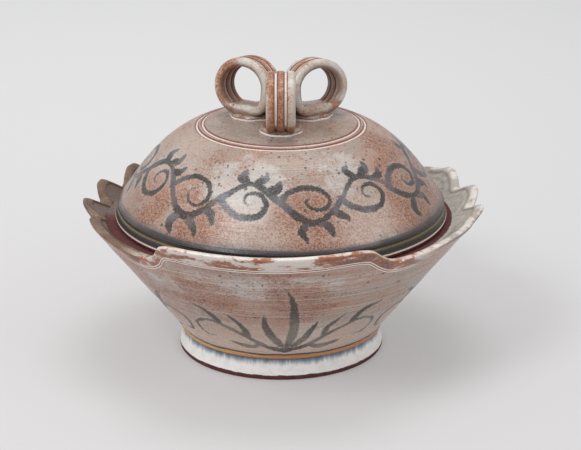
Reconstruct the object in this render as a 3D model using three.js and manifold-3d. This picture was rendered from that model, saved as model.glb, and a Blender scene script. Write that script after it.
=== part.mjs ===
// Lidded stoneware bowl. Millimetres, +Z up, origin under the middle of the foot, front towards -Y.
// A thrown conical bowl with a scalloped rim and two finger-cut lugs stands on a foot ring. Its domed
// lid rests on a ledge inside the rim and is lifted by three upright loops of grooved strap.
import * as THREE from "three";
import { mergeVertices } from "three/addons/utils/BufferGeometryUtils.js";
import Module from "manifold-3d";

// Foot ring
const FOOT_HEIGHT = 16;
const FOOT_RADIUS = 75.4;
const FOOT_SIDE_HEIGHT = 3.6;
const FOOT_WAIST_RADIUS = 72.9;
const FOOT_WAIST_HEIGHT = 12.8;
const FOOT_INNER_RADIUS = 62.5;
const FOOT_BEVEL_RADIUS = 63.5;
const FOOT_BEVEL_HEIGHT = 6.4;
const FOOT_REST_WIDTH = 6;
const FOOT_EDGE_ROUND = 1.2;

// Bowl wall and floor
const BEAD_RADIUS = 74.5;
const BEAD_HEIGHT = 2.7;
const CONE_FOOT_RADIUS = 73.6;
const CONE_FLARE_DEG = 38.13;
const WALL_ACROSS = 9;
const FLOOR_THICKNESS = 8;
const FLOOR_RADIUS = 60;
const FLOOR_FILLET = 12;

// Ledge inside the rim, where the lid rests
const SEAT_HEIGHT = 100;
const SEAT_OUTER_RADIUS = 127;
const SEAT_LIP_THICKNESS = 4.5;
const SEAT_HAUNCH = 14;

// Rim: how far its crest stands above the ledge
const LIP_ACROSS = 6.5;
const LIP_ROUND = 3.2;
const LIP_BLEND = 7;
const LUG_FLARE = 3;
const PANEL_RISE = 21.6;
const RIM_LEFT = { corner: 22.7, scoop: 3, saddle: 6, notch: 0.6, lobe: 10.3 };
const RIM_RIGHT = { corner: 23.9, scoop: 7, saddle: 8.8, notch: 6.2, lobe: 12.8 };

// Rim: shares that round a panel's corner, the slope down to a scoop, and a lobe (along it, up it)
const CORNER_PLACE = [0.55, 0.85];
const CORNER_SHOULDER = 0.96;
const SCOOP_SLOPE = [0.36, 0.08];
const BACK_SCOOP_SLOPE = 0.4;
const SADDLE_SHOULDER = 0.95;
const LOBE_RISE = [0.4, 0.68];
const LOBE_FRONT_TIP = [0.15, 0.95];
const LOBE_BACK_TIP = [0.15, 1];
const LOBE_FALL = [0.45, 0.72];

// Rim: where each feature lies, in degrees from the middle of the front panel
const FRONT_TURN = -4.4;
const FRONT_PANEL_END = 28;
const FRONT_SCOOP_AT = 43;
const SADDLE_AT = 62;
const LUG_START = 79;
const LUG_STEP = 3;
const LUG_STEP_RISE = 2;
const LUG_MIDDLE = 105;
const LOBE_PITCH = 17.8;
const LOBE_FRONT = 11;
const LOBE_BACK = 6.6;
const BACK_SCOOP_AT = 139;
const BACK_PANEL_END = 153;
const BACK_CORNER_AT = 157;

// Lid
const LID_SEAT_GAP = 0.3;
const LID_EDGE_CLEARANCE = 6;
const LID_BEARING = 6;
const LID_SEAT_WIDTH = 5.5;
const LID_EDGE_ROUND = 1;
const LID_EDGE_HEIGHT = 3;
const LID_FLANGE_HEIGHT = 11;
const LID_FLANGE_TAPER = 1.7;
const LID_GROOVE_HEIGHT = 8.4;
const LID_GROOVE_DEPTH = 0.9;
const LID_WALL = 6;
const CROWN_HEIGHT = 171.8;
const CROWN_RADIUS = 42;
const DOME_SHOULDER_IN = 17;
const DOME_SHOULDER_UP = 27;
const DOME_CROWN_PULL = 37;

// Strap loops and the clay collars that hold them
const FRONT_LOOP_HALF_HEIGHT = 22;
const RIGHT_LOOP_HALF_HEIGHT = 20.6;
const LEFT_LOOP_HALF_HEIGHT = 21.2;
const SIDE_LOOP_LEAN_DEG = 7;
const LOOP_HALF_LENGTH = 22.8;
const LOOP_MIDDLE_GAP = 5.2;
const LOOP_HEEL = 3.5;
const STRAP_THICKNESS = 6.6;
const STRAP_WIDTH = 21;
const STRAP_RIBS = 3;
const STRAP_GROOVE_DEPTH = 1.4;
const STRAP_GROOVE_WIDTH = 2;
const STRAP_EDGE_ROUND = 2.4;
const LOOP_CLEARANCE = 0.3;
const COLLAR_ACROSS = 31;
const COLLAR_ALONG = 34;
const COLLAR_HEIGHT = 5.5;
const COLLAR_UNDER = 0.4;
const COLLAR_SETBACK = 2;
const COLLAR_SECTION = [
  [0, 0],
  [1, 0],
  [0.98, 0.3],
  [0.84, 0.8],
  [0.7, 1],
  [0, 1],
];

// Mesh steps, the heights of the rows along the bowl's side, and shares of the upstand's height
const RIM_STEPS = 144;
const TURN_STEPS = 64;
const LOOP_STEPS = 26;
const COLLAR_STEPS = 20;
const DOME_OUTER_STEPS = 11;
const DOME_INNER_STEPS = 7;
const WALL_ROW_HEIGHTS = [54, 89];
const UPSTAND_ROWS = [0.5, 0.15];

// The loops stand in equal turns round the lid's axis, in this order
const LOOPS = [
  { side: "front", halfHeight: FRONT_LOOP_HALF_HEIGHT, leanDeg: 0 },
  { side: "right", halfHeight: RIGHT_LOOP_HALF_HEIGHT, leanDeg: SIDE_LOOP_LEAN_DEG },
  { side: "left", halfHeight: LEFT_LOOP_HALF_HEIGHT, leanDeg: -SIDE_LOOP_LEAN_DEG },
];

const wasm = await Module();
wasm.setup();

const radians = THREE.MathUtils.degToRad;
const lerp = THREE.MathUtils.lerp;
const point = (r, z) => new THREE.Vector2(r, z);
const coneSlope = Math.tan(radians(CONE_FLARE_DEG));
const coneFoot = FOOT_HEIGHT + BEAD_HEIGHT;
const lobeReach = Math.max(RIM_LEFT.lobe, RIM_RIGHT.lobe);

// The lid's edge lies over the ledge by its bearing, and clear of the upstand.
const lidRadius = SEAT_OUTER_RADIUS - LID_EDGE_CLEARANCE;
const lidBottom = SEAT_HEIGHT + LID_SEAT_GAP;
const seatInnerRadius = lidRadius - LID_BEARING;

// The wall's outer radius at a height. A lug's wall, above the ledge, is pulled outwards by `flare`.
function wallOuter(z, flare = 0) {
  const above = Math.max(z - SEAT_HEIGHT, 0) / lobeReach;
  return CONE_FOOT_RADIUS + coneSlope * (z - coneFoot) + flare * above;
}

// A lathe turned about +Z: its profile is (radius, height), from the bottom, outside first.
function turned(profile, steps) {
  const shape = new THREE.LatheGeometry(profile, steps);
  shape.rotateX(Math.PI / 2);
  return shape;
}

function bareGeometry(geometry) {
  const bare = geometry.clone();
  bare.deleteAttribute("normal");
  bare.deleteAttribute("uv");
  return mergeVertices(bare, 1e-4);
}

function solidOf(geometry) {
  const bare = bareGeometry(geometry);
  return new wasm.Manifold(
    new wasm.Mesh({
      numProp: 3,
      vertProperties: new Float32Array(bare.attributes.position.array),
      triVerts: new Uint32Array(bare.index.array),
    }),
  );
}

function geometryOf(solid) {
  const mesh = solid.getMesh();
  const geometry = new THREE.BufferGeometry();
  geometry.setAttribute("position", new THREE.BufferAttribute(mesh.vertProperties, 3));
  geometry.setIndex(new THREE.BufferAttribute(mesh.triVerts, 1));
  geometry.computeVertexNormals();
  return geometry;
}

// A finger-pinched lobe of the lug: a slow rise on its front side, a round tip, a quick fall behind.
function lobe(side, tip) {
  const place = ([along, up], reach) => [tip + reach * along, lerp(side.notch, side.lobe, up)];
  return [
    place(LOBE_RISE, -LOBE_FRONT),
    place(LOBE_FRONT_TIP, -LOBE_FRONT),
    place(LOBE_BACK_TIP, LOBE_BACK),
    place(LOBE_FALL, LOBE_BACK),
  ];
}

// One side of the rim's crest, as degrees from the middle of the front panel and rise above the ledge.
function rimSide(side) {
  const step = Math.min(side.notch + LUG_STEP_RISE, side.saddle);
  return smoothThrough([
    [0, PANEL_RISE],
    [FRONT_PANEL_END * CORNER_PLACE[0], (PANEL_RISE + side.corner) / 2],
    [FRONT_PANEL_END * CORNER_PLACE[1], side.corner],
    [FRONT_PANEL_END, side.corner * CORNER_SHOULDER],
    [lerp(FRONT_PANEL_END, FRONT_SCOOP_AT, 1 / 3), side.scoop + PANEL_RISE * SCOOP_SLOPE[0]],
    [lerp(FRONT_PANEL_END, FRONT_SCOOP_AT, 2 / 3), side.scoop + PANEL_RISE * SCOOP_SLOPE[1]],
    [FRONT_SCOOP_AT, side.scoop],
    [SADDLE_AT, side.saddle],
    [LUG_START - LUG_STEP, side.saddle * SADDLE_SHOULDER],
    [LUG_START, step],
    ...lobe(side, LUG_MIDDLE - LOBE_PITCH),
    [LUG_MIDDLE - LOBE_FRONT, side.notch],
    ...lobe(side, LUG_MIDDLE),
    [LUG_MIDDLE + LOBE_BACK, side.notch],
    ...lobe(side, LUG_MIDDLE + LOBE_PITCH),
    [BACK_SCOOP_AT, side.scoop],
    [lerp(BACK_SCOOP_AT, BACK_PANEL_END, 2 / 3), side.scoop + PANEL_RISE * BACK_SCOOP_SLOPE],
    [BACK_PANEL_END, side.corner * CORNER_SHOULDER],
    [BACK_CORNER_AT, side.corner],
    [180, PANEL_RISE],
  ]);
}

// Smooth curve through the crest points that never swings past a point: a monotone cubic.
function smoothThrough(points) {
  const slope = points.map(([a, rise], i) => {
    if (i === 0 || i === points.length - 1) return 0;
    const before = (rise - points[i - 1][1]) / (a - points[i - 1][0]);
    const after = (points[i + 1][1] - rise) / (points[i + 1][0] - a);
    return before * after <= 0 ? 0 : (2 * before * after) / (before + after);
  });
  return (at) => {
    const i = Math.min(points.findIndex((p, k) => k > 0 && at <= p[0]), points.length - 1) - 1;
    const [a, low] = points[i];
    const [b, high] = points[i + 1];
    const width = b - a;
    const t = (at - a) / width;
    const rest = 1 - t;
    return (
      low * rest * rest * (1 + 2 * t) +
      slope[i] * width * t * rest * rest +
      high * t * t * (3 - 2 * t) -
      slope[i + 1] * width * t * t * rest
    );
  };
}

const leftCrest = rimSide(RIM_LEFT);
const rightCrest = rimSide(RIM_RIGHT);

// The rim at an azimuth: its crest's height, and how far the lug's wall is pulled outwards there.
function rimAt(azimuthDeg) {
  const turn = THREE.MathUtils.euclideanModulo(azimuthDeg - FRONT_TURN + 180, 360) - 180;
  const fromFront = Math.abs(turn);
  const start = THREE.MathUtils.smoothstep(fromFront, SADDLE_AT, LUG_START);
  const end = THREE.MathUtils.smoothstep(fromFront, LUG_MIDDLE + LOBE_PITCH, BACK_SCOOP_AT);
  return {
    crest: SEAT_HEIGHT + (turn < 0 ? leftCrest : rightCrest)(fromFront),
    flare: LUG_FLARE * (start - end),
  };
}

// The inner side of the upstand curves from the ledge's corner into a wall as thick as the lip.
function upstandInner(z, flare) {
  const left = 1 - Math.min((z - SEAT_HEIGHT) / LIP_BLEND, 1);
  const corner = wallOuter(SEAT_HEIGHT) - SEAT_OUTER_RADIUS - LIP_ACROSS;
  return wallOuter(z, flare) - LIP_ACROSS - corner * left * left;
}

// One upright section of the bowl, from the middle of its underside round to the middle of its floor.
function bowlSection({ crest, flare }) {
  const inner = (z) => wallOuter(z) - WALL_ACROSS;
  const floorTop = FOOT_HEIGHT + FLOOR_THICKNESS;
  const filletTop = floorTop + FLOOR_FILLET;
  const haunchFoot = SEAT_HEIGHT - SEAT_HAUNCH;
  const section = [
    point(0, FOOT_HEIGHT),
    point(FOOT_WAIST_RADIUS, FOOT_HEIGHT),
    point(BEAD_RADIUS, FOOT_HEIGHT + BEAD_HEIGHT / 3),
    point(BEAD_RADIUS, FOOT_HEIGHT + (BEAD_HEIGHT * 2) / 3),
    point(CONE_FOOT_RADIUS, coneFoot),
  ];
  for (const z of WALL_ROW_HEIGHTS) section.push(point(wallOuter(z), z));

  const lipFoot = crest - LIP_ROUND;
  const lipOuter = wallOuter(lipFoot, flare);
  const lipMiddle = (lipOuter + upstandInner(Math.max(lipFoot, SEAT_HEIGHT), flare)) / 2;
  const lipTop = lipMiddle + coneSlope * LIP_ROUND;
  for (const turn of [0, 30, 60, 90].map(radians)) {
    const up = LIP_ROUND * Math.sin(turn);
    const out = (lipOuter - lipMiddle) * Math.cos(turn);
    section.push(point(lipMiddle + out + coneSlope * up, lipFoot + up));
  }
  const upstandTop = Math.max(lipFoot, SEAT_HEIGHT);
  for (const turn of [45, 90].map(radians)) {
    const down = (crest - upstandTop) * (1 - Math.cos(turn));
    section.push(point(lerp(lipTop, upstandInner(upstandTop, flare), Math.sin(turn)), crest - down));
  }
  for (const share of UPSTAND_ROWS) {
    const z = lerp(SEAT_HEIGHT, upstandTop, share);
    section.push(point(upstandInner(z, flare), z));
  }

  section.push(
    point(SEAT_OUTER_RADIUS, SEAT_HEIGHT),
    point(seatInnerRadius, SEAT_HEIGHT),
    point(seatInnerRadius, SEAT_HEIGHT - SEAT_LIP_THICKNESS),
    point(inner(haunchFoot), haunchFoot),
    point(inner(filletTop), filletTop),
    point((inner(floorTop) + FLOOR_RADIUS) / 2, floorTop + FLOOR_FILLET / 4),
    point(FLOOR_RADIUS, floorTop),
    point(0, floorTop),
  );
  return section;
}

// The lathe's own columns are moved to the section of their azimuth.
function bowlGeometry() {
  const rows = bowlSection(rimAt(0));
  const shape = turned(rows, RIM_STEPS);
  const place = shape.getAttribute("position");
  for (let column = 0; column <= RIM_STEPS; column++) {
    const azimuth = (360 * (column % RIM_STEPS)) / RIM_STEPS;
    const turn = radians(azimuth);
    bowlSection(rimAt(azimuth)).forEach((at, row) => {
      const index = column * rows.length + row;
      place.setXYZ(index, at.x * Math.sin(turn), -at.x * Math.cos(turn), at.y);
    });
  }
  return shape;
}

function footGeometry() {
  const restInner = FOOT_RADIUS - FOOT_EDGE_ROUND - FOOT_REST_WIDTH;
  const bottom = point(restInner, 0);
  return turned(
    [
      bottom,
      point(FOOT_RADIUS - FOOT_EDGE_ROUND, 0),
      point(FOOT_RADIUS, FOOT_EDGE_ROUND),
      point(FOOT_RADIUS, FOOT_SIDE_HEIGHT),
      point(FOOT_WAIST_RADIUS, FOOT_WAIST_HEIGHT),
      point(FOOT_WAIST_RADIUS, FOOT_HEIGHT),
      point(FOOT_INNER_RADIUS, FOOT_HEIGHT),
      point(FOOT_BEVEL_RADIUS, FOOT_BEVEL_HEIGHT),
      bottom,
    ],
    TURN_STEPS,
  );
}

function domeCurve(inset) {
  const start = point(lidRadius - LID_FLANGE_TAPER - inset, lidBottom + LID_FLANGE_HEIGHT);
  const end = point(CROWN_RADIUS, CROWN_HEIGHT - inset);
  return new THREE.CubicBezierCurve(
    start,
    point(start.x - DOME_SHOULDER_IN, start.y + DOME_SHOULDER_UP - inset / 2),
    point(end.x + DOME_CROWN_PULL - inset / 2, end.y),
    end,
  );
}

// A point of the lid's flange, which leans in above its edge, at a height over the lid's bottom.
function flangePoint(up, depth) {
  const lean = (up - LID_EDGE_HEIGHT) / (LID_FLANGE_HEIGHT - LID_EDGE_HEIGHT);
  return point(lidRadius - LID_FLANGE_TAPER * lean - depth, lidBottom + up);
}

function lidGeometry() {
  return turned(
    [
      point(lidRadius - LID_SEAT_WIDTH, lidBottom),
      point(lidRadius - LID_EDGE_ROUND, lidBottom),
      point(lidRadius, lidBottom + LID_EDGE_ROUND),
      flangePoint(LID_EDGE_HEIGHT, 0),
      flangePoint(LID_GROOVE_HEIGHT - LID_GROOVE_DEPTH, 0),
      flangePoint(LID_GROOVE_HEIGHT, LID_GROOVE_DEPTH),
      flangePoint(LID_GROOVE_HEIGHT + LID_GROOVE_DEPTH, 0),
      ...domeCurve(0).getPoints(DOME_OUTER_STEPS),
      point(0, CROWN_HEIGHT),
      point(0, CROWN_HEIGHT - LID_WALL),
      ...domeCurve(LID_WALL).getPoints(DOME_INNER_STEPS).reverse(),
      point(lidRadius - LID_SEAT_WIDTH, lidBottom),
    ],
    TURN_STEPS,
  );
}

const loopReach = LOOP_MIDDLE_GAP + LOOP_HALF_LENGTH;

// How high a leaning loop's middle stands for its lower edge to clear the crown.
function loopHeight(loop) {
  const lean = Math.abs(radians(loop.leanDeg));
  return (
    CROWN_HEIGHT +
    COLLAR_UNDER +
    loop.halfHeight * Math.cos(lean) +
    (STRAP_WIDTH / 2 - STRAP_EDGE_ROUND) * Math.sin(lean)
  );
}

// One face of the strap: rounded ribs with a groove between each pair, from edge to edge.
function strapFace(half, edge) {
  const pitch = STRAP_WIDTH / STRAP_RIBS;
  const grooveSide = STRAP_GROOVE_DEPTH / 4;
  const face = [point(half - STRAP_EDGE_ROUND, -edge), point(half, STRAP_EDGE_ROUND - edge)];
  for (let groove = 1; groove < STRAP_RIBS; groove++) {
    const middle = (groove - STRAP_RIBS / 2) * pitch;
    face.push(
      point(half - grooveSide, middle - STRAP_GROOVE_WIDTH / 2),
      point(half - STRAP_GROOVE_DEPTH, middle),
      point(half - grooveSide, middle + STRAP_GROOVE_WIDTH / 2),
    );
    if (groove < STRAP_RIBS - 1) face.push(point(half, middle + pitch / 2));
  }
  face.push(point(half, edge - STRAP_EDGE_ROUND), point(half - STRAP_EDGE_ROUND, edge));
  return face;
}

// The strap's closed section, as distance from its middle and place across it, `grow` larger all round.
function strapSection(grow) {
  const outside = strapFace(STRAP_THICKNESS / 2 + grow, STRAP_WIDTH / 2 + grow);
  const inside = outside.map((p) => point(-p.x, p.y)).reverse();
  return [...outside, ...inside, outside[0]];
}

// A loop is round but for its heel, low on the side of the lid's axis, where it is squarer.
function heelPull(down, inward) {
  if (down <= 0 || inward <= 0) return 1;
  return (down ** LOOP_HEEL + inward ** LOOP_HEEL) ** (-1 / LOOP_HEEL);
}

// A ring of strap standing upright in the plane that holds the lid's axis, at the front.
function loopGeometry(loop, grow) {
  const section = strapSection(grow);
  const ring = new THREE.LatheGeometry(section, LOOP_STEPS);
  const place = ring.getAttribute("position");
  for (let step = 0; step <= LOOP_STEPS; step++) {
    const turn = (2 * Math.PI * (step % LOOP_STEPS)) / LOOP_STEPS;
    const outward = Math.sin(turn);
    const up = Math.cos(turn);
    const heel = heelPull(-up, -outward);
    const along = (LOOP_HALF_LENGTH - STRAP_THICKNESS / 2) * heel;
    const high = (loop.halfHeight - STRAP_THICKNESS / 2) * heel;
    section.forEach((at, row) => {
      const index = step * section.length + row;
      place.setXYZ(index, at.y, -outward * (along + at.x), up * (high + at.x));
    });
  }
  ring.rotateY(radians(loop.leanDeg));
  ring.translate(0, -loopReach, loopHeight(loop));
  return ring;
}

// Clay pressed round the loop's foot: an oval pad with a sloping side, hollowed for the strap.
function collarGeometry(loop) {
  const section = COLLAR_SECTION.map(([out, up]) => point(out, up));
  const pad = turned(section, COLLAR_STEPS);
  pad.scale(COLLAR_ACROSS / 2, COLLAR_ALONG / 2, COLLAR_HEIGHT);
  pad.translate(0, -LOOP_MIDDLE_GAP - COLLAR_SETBACK - COLLAR_ALONG / 2, CROWN_HEIGHT);
  return geometryOf(solidOf(pad).subtract(solidOf(loopGeometry(loop, LOOP_CLEARANCE))));
}

function material(color, roughness) {
  return new THREE.MeshStandardMaterial({ color, roughness, metalness: 0 });
}

const bowlGlaze = material(0xa89a8c, 0.45);
const footGlaze = material(0xd8d6d0, 0.4);
const lidGlaze = material(0xb9a294, 0.45);
const strapGlaze = material(0xb08c74, 0.45);
const collarGlaze = material(0xc0b0a4, 0.5);

const lidded = new THREE.Group();

function add(parent, name, geometry, finish) {
  const piece = new THREE.Mesh(geometry, finish);
  piece.name = name;
  parent.add(piece);
}

add(lidded, "bowl_body", bowlGeometry(), bowlGlaze);
add(lidded, "foot_ring", footGeometry(), footGlaze);
add(lidded, "lid_dome", lidGeometry(), lidGlaze);

LOOPS.forEach((loop, i) => {
  const station = new THREE.Group();
  station.rotation.z = (2 * Math.PI * i) / LOOPS.length;
  add(station, "strap_loop_" + loop.side, loopGeometry(loop, 0), strapGlaze);
  add(station, "loop_collar_" + loop.side, collarGeometry(loop), collarGlaze);
  lidded.add(station);
});

export default lidded;
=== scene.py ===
import math
import random

import bmesh
import bpy
import numpy as np
from mathutils import Matrix, Vector, kdtree


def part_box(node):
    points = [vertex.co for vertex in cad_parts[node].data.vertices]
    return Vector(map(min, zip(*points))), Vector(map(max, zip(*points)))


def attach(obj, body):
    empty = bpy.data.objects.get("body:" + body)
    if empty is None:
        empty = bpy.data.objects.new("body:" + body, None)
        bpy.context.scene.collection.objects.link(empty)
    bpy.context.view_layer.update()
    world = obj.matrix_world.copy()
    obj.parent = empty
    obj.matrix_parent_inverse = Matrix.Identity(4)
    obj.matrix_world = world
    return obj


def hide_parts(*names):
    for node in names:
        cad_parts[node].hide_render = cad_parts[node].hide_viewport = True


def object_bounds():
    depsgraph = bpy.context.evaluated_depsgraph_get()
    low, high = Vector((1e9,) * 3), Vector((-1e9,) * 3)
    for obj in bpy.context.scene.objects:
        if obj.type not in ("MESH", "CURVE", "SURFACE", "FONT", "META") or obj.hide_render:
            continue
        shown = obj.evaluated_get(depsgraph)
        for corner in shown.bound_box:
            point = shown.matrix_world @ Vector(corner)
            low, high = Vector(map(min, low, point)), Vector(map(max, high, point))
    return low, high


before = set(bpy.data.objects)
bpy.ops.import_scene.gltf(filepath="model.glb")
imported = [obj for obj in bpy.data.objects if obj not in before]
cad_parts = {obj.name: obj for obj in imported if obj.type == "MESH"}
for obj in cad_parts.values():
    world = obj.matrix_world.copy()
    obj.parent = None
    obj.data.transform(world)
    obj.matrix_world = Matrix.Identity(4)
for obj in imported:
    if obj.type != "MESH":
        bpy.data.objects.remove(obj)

# A thrown stoneware bowl with a cut rim, its foot ring, and a domed lid lifted by three strap loops.
# Metres, +Z up, origin under the middle of the foot, front towards -Y.

MM = 0.001
cad_low, cad_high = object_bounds()
lid_low, lid_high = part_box("lid_dome")
foot_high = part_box("foot_ring")[1]

# Camera
CAMERA_AT = (0.0069, -1.6026, 0.6657)
CAMERA_PITCH_DEG = 19.71
FRAME_WIDTH_PX = 581
FOCAL_PX = 2317.8
SENSOR_WIDTH_MM = 36

# Foot ring
FOOT_HEIGHT = foot_high.z
FOOT_RADIUS = foot_high.x
FOOT_SIDE_HEIGHT = 3.6 * MM
FOOT_WAIST_RADIUS = 72.9 * MM
FOOT_WAIST_HEIGHT = 12.8 * MM
FOOT_INNER_RADIUS = 62.5 * MM
FOOT_BEVEL_RADIUS = 63.5 * MM
FOOT_BEVEL_HEIGHT = 6.4 * MM
FOOT_REST_WIDTH = 6 * MM
FOOT_EDGE_ROUND = 1.2 * MM

# Bowl wall and floor
BEAD_RADIUS = 74.5 * MM
BEAD_HEIGHT = 2.7 * MM
CONE_FOOT_RADIUS = 73.6 * MM
CONE_FLARE_DEG = 38.13
WALL_ACROSS = 9 * MM
FLOOR_THICKNESS = 8 * MM
FLOOR_RADIUS = 60 * MM
FLOOR_FILLET = 12 * MM
INSIDE_ROUND = 6 * MM

# Ledge inside the rim
SEAT_HEIGHT = 100 * MM
SEAT_INNER_RADIUS = 115 * MM
SEAT_OUTER_RADIUS = 127 * MM
SEAT_LIP_THICKNESS = 4.5 * MM
SEAT_HAUNCH = 14 * MM
SEAT_EDGE_ROUND = 1 * MM

# Rim: rises in millimetres above the ledge, and places in degrees from the middle of the front panel
LIP_ACROSS = 6.5 * MM
LIP_ROUND = 3.2 * MM
LIP_BLEND = 7 * MM
LUG_FLARE = 3 * MM
PANEL_RISE = 21.6
RIM_LEFT = {"corner": 22.7, "scoop": 3, "saddle": 6, "notch": 0.6, "lobe": 10.3}
RIM_RIGHT = {"corner": 23.9, "scoop": 7, "saddle": 8.8, "notch": 6.2, "lobe": 12.8}
CORNER_PLACE = (0.55, 0.85)
CORNER_SHOULDER = 0.96
SCOOP_SLOPE = (0.36, 0.08)
BACK_SCOOP_SLOPE = 0.4
SADDLE_SHOULDER = 0.95
LOBE_RISE = (0.4, 0.68)
LOBE_FRONT_TIP = (0.15, 0.95)
LOBE_BACK_TIP = (0.15, 1)
LOBE_FALL = (0.45, 0.72)
FRONT_TURN = -4.4
FRONT_PANEL_END = 28
FRONT_SCOOP_AT = 43
SADDLE_AT = 62
LUG_START = 79
LUG_STEP = 3
LUG_STEP_RISE = 2
LUG_MIDDLE = 105
LOBE_PITCH = 17.8
LOBE_FRONT = 11
LOBE_BACK = 6.6
BACK_SCOOP_AT = 139
BACK_PANEL_END = 153
BACK_CORNER_AT = 157

# Incised double line under the rim: drop below the crest, in millimetres, by degrees from the front
LINE_DROP_LEFT = [(0, 13.6), (22, 13), (29, 11.5), (36, 10.5), (43, 10)]
LINE_DROP_RIGHT = [(0, 13.6), (15, 13.2), (21, 12.4), (28, 11.6), (43, 11)]
LINE_DROP_BACK = [(150, 10), (160, 12), (180, 13.6)]
LINE_FADE_FROM = 40
LINE_FADE_TO = 58
LINE_PITCH = 1.9 * MM
LINE_DEPTH = 0.55 * MM
LINE_HALF_WIDTH = 0.5 * MM
LINE_MARGIN = 1.6 * MM
BAND_SWELL = 0.5 * MM
BAND_GAP = 0.4 * MM

# The rise up the rim over which the ledge's bare clay ends
BARE_RISE = (0.2 * MM, 1.6 * MM)

# Finger swells up the bowl's wall
WALL_SWELL = 0.132 * MM
WALL_SWELL_PITCH = 4.3 * MM
WALL_SWELL_FROM = (30 * MM, 45 * MM)

# Lid
LID_RADIUS = lid_high.x
LID_BOTTOM = lid_low.z
CROWN_HEIGHT = lid_high.z
LID_SEAT_WIDTH = 5.5 * MM
LID_EDGE_ROUND = 1 * MM
LID_CORNER_ROUND = 0.8 * MM
LID_EDGE_HEIGHT = 3 * MM
LID_FLANGE_HEIGHT = 11 * MM
LID_FLANGE_TAPER = 1.7 * MM
LID_GROOVE_HEIGHT = 8.4 * MM
LID_GROOVE_DEPTH = 0.9 * MM
LID_WALL = 6 * MM
CROWN_RADIUS = 42 * MM
DOME_SHOULDER_IN = 17 * MM
DOME_SHOULDER_UP = 27 * MM
DOME_CROWN_PULL = 37 * MM
CROWN_RINGS = (60.9 * MM, 56.6 * MM)
RING_HALF_WIDTH = 0.85 * MM
RING_DEPTH = 0.75 * MM
RING_MARGIN = 3 * MM
RING_RIDGE_AWAY = 1.6 * MM
RING_RIDGE_HALF = 0.5 * MM
EDGE_ROLL = 0.35 * MM
EDGE_ROLL_HALF = 0.9 * MM
GROOVE_HALF_WIDTH = 0.8 * MM
SKIN_REACH = 0.3 * MM

# Strap loops
LOOPS = (
    {"side": "front", "half_height": 22 * MM, "lean": 0},
    {"side": "right", "half_height": 20.6 * MM, "lean": 7},
    {"side": "left", "half_height": 21.2 * MM, "lean": -7},
)
LOOP_HALF_LENGTH = 22.8 * MM
LOOP_MIDDLE_GAP = 5.2 * MM
LOOP_HEEL = 3.5
STRAP_THICKNESS = 6.6 * MM
STRAP_WIDTH = 21 * MM
STRAP_RIBS = 3
STRAP_GROOVE_DEPTH = 1.5 * MM
STRAP_GROOVE_HALF = 0.75 * MM
STRAP_EDGE_ROUND = 2.4 * MM
STRAP_RIB_CROWN = 0.45 * MM
TAIL_RISE = 1.6 * MM
SEAM_LINES = (((0.014, 0.001), (0.005, -0.0055)), ((0.001, -0.002), (0.007, -0.0055)))
SEAM_HALF_WIDTH = 0.6 * MM
SEAM_DEPTH = 0.6 * MM

# Glaze on the loops: its reach beside a groove, in half widths; where the ring's inside begins, as a share
# of its size; the strap's rounded sides; and the part tucked under the ring's outer end
GROOVE_PAINT = 1.1
HOLLOW_PAINT = 3
RING_INSIDE = (0.84, 0.76)
SIDE_WIDTH = 1.2 * MM
TUCK_HEIGHT = 2 * MM
TUCK_FROM = (7 * MM, 8 * MM)

# Collars: size, side profile in shares of it, and how uneven the thumbing is: broad, fine and along the top
COLLAR_ACROSS = 31 * MM
COLLAR_ALONG = 34 * MM
COLLAR_HEIGHT = 5.5 * MM
COLLAR_UNDER = 0.4 * MM
COLLAR_SETBACK = 2 * MM
COLLAR_SIDES = 8
COLLAR_CORNER = 14
COLLAR_TAPER = 0.3
COLLAR_RUN = 0.85
COLLAR_TOP_FROM = 0.75
COLLAR_RISE_BY = 0.8
COLLAR_BULGE = 1.7
COLLAR_THUMBED = (0.02, 0.015, 0.06)

# Brushwork: a leafy scroll round the lid and sprigs round the bowl
SCROLL_WAVES = 7
SPRIG_COUNT = 4
SPRIG_TURN = 0.04
SCROLL_MIDDLE = 0.345
SCROLL_SWING = 0.155
SCROLL_STROKE = 2.7 * MM
SPRIG_STROKE = 2.9 * MM
SPRIG_LEAF = 2.7 * MM
BROAD_LEAF = 3.5 * MM
HAND_WAVER = 0.006
STROKE_STEPS = 24
NO_INK = -9 * MM

# Where the glaze broke white
LID_WHITE_AT = ((-0.045, -0.08, 0.15), (-0.012, -0.088, 0.15), (0.042, -0.072, 0.152))
LID_PALE_AT = ((-0.07, -0.04, 0.158), (-0.018, -0.113, 0.118), (0.064, -0.092, 0.122))
BOWL_WHITE_AT = ((-0.025, -0.12, 0.085), (0.028, -0.12, 0.085), (0.02, -0.1, 0.045))

# Where it burnt to rust
LID_RUST_AT = (
    (-0.1, -0.055, 0.132),
    (-0.055, -0.1, 0.125),
    (0.09, -0.03, 0.15),
    (0.022, -0.108, 0.134),
)
BOWL_RUST_AT = ((0.0, -0.13, 0.1), (0.014, -0.115, 0.07), (-0.05, -0.11, 0.075))

# Glaze skin
SKIN_RELIEF = 0.35 * MM
GLAZE_IOR = 1.5

# Floor, and how much of its own colour shows through its shadows
FLOOR_HALF = 6
FLOOR_GLOW = 0.3

# Lights: name, place, width across and power, all turned to one point
LIGHTS = (
    ("key", (-1.1, -1.0, 1.7), 0.9, 17),
    ("fill", (1.3, -0.9, 1.3), 1.0, 3.5),
    ("top", (0.1, 0.3, 1.9), 1.0, 8),
)
LIGHT_AIM = (0, 0, 0.1)
SKY_STRENGTH = 0.66

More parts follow.
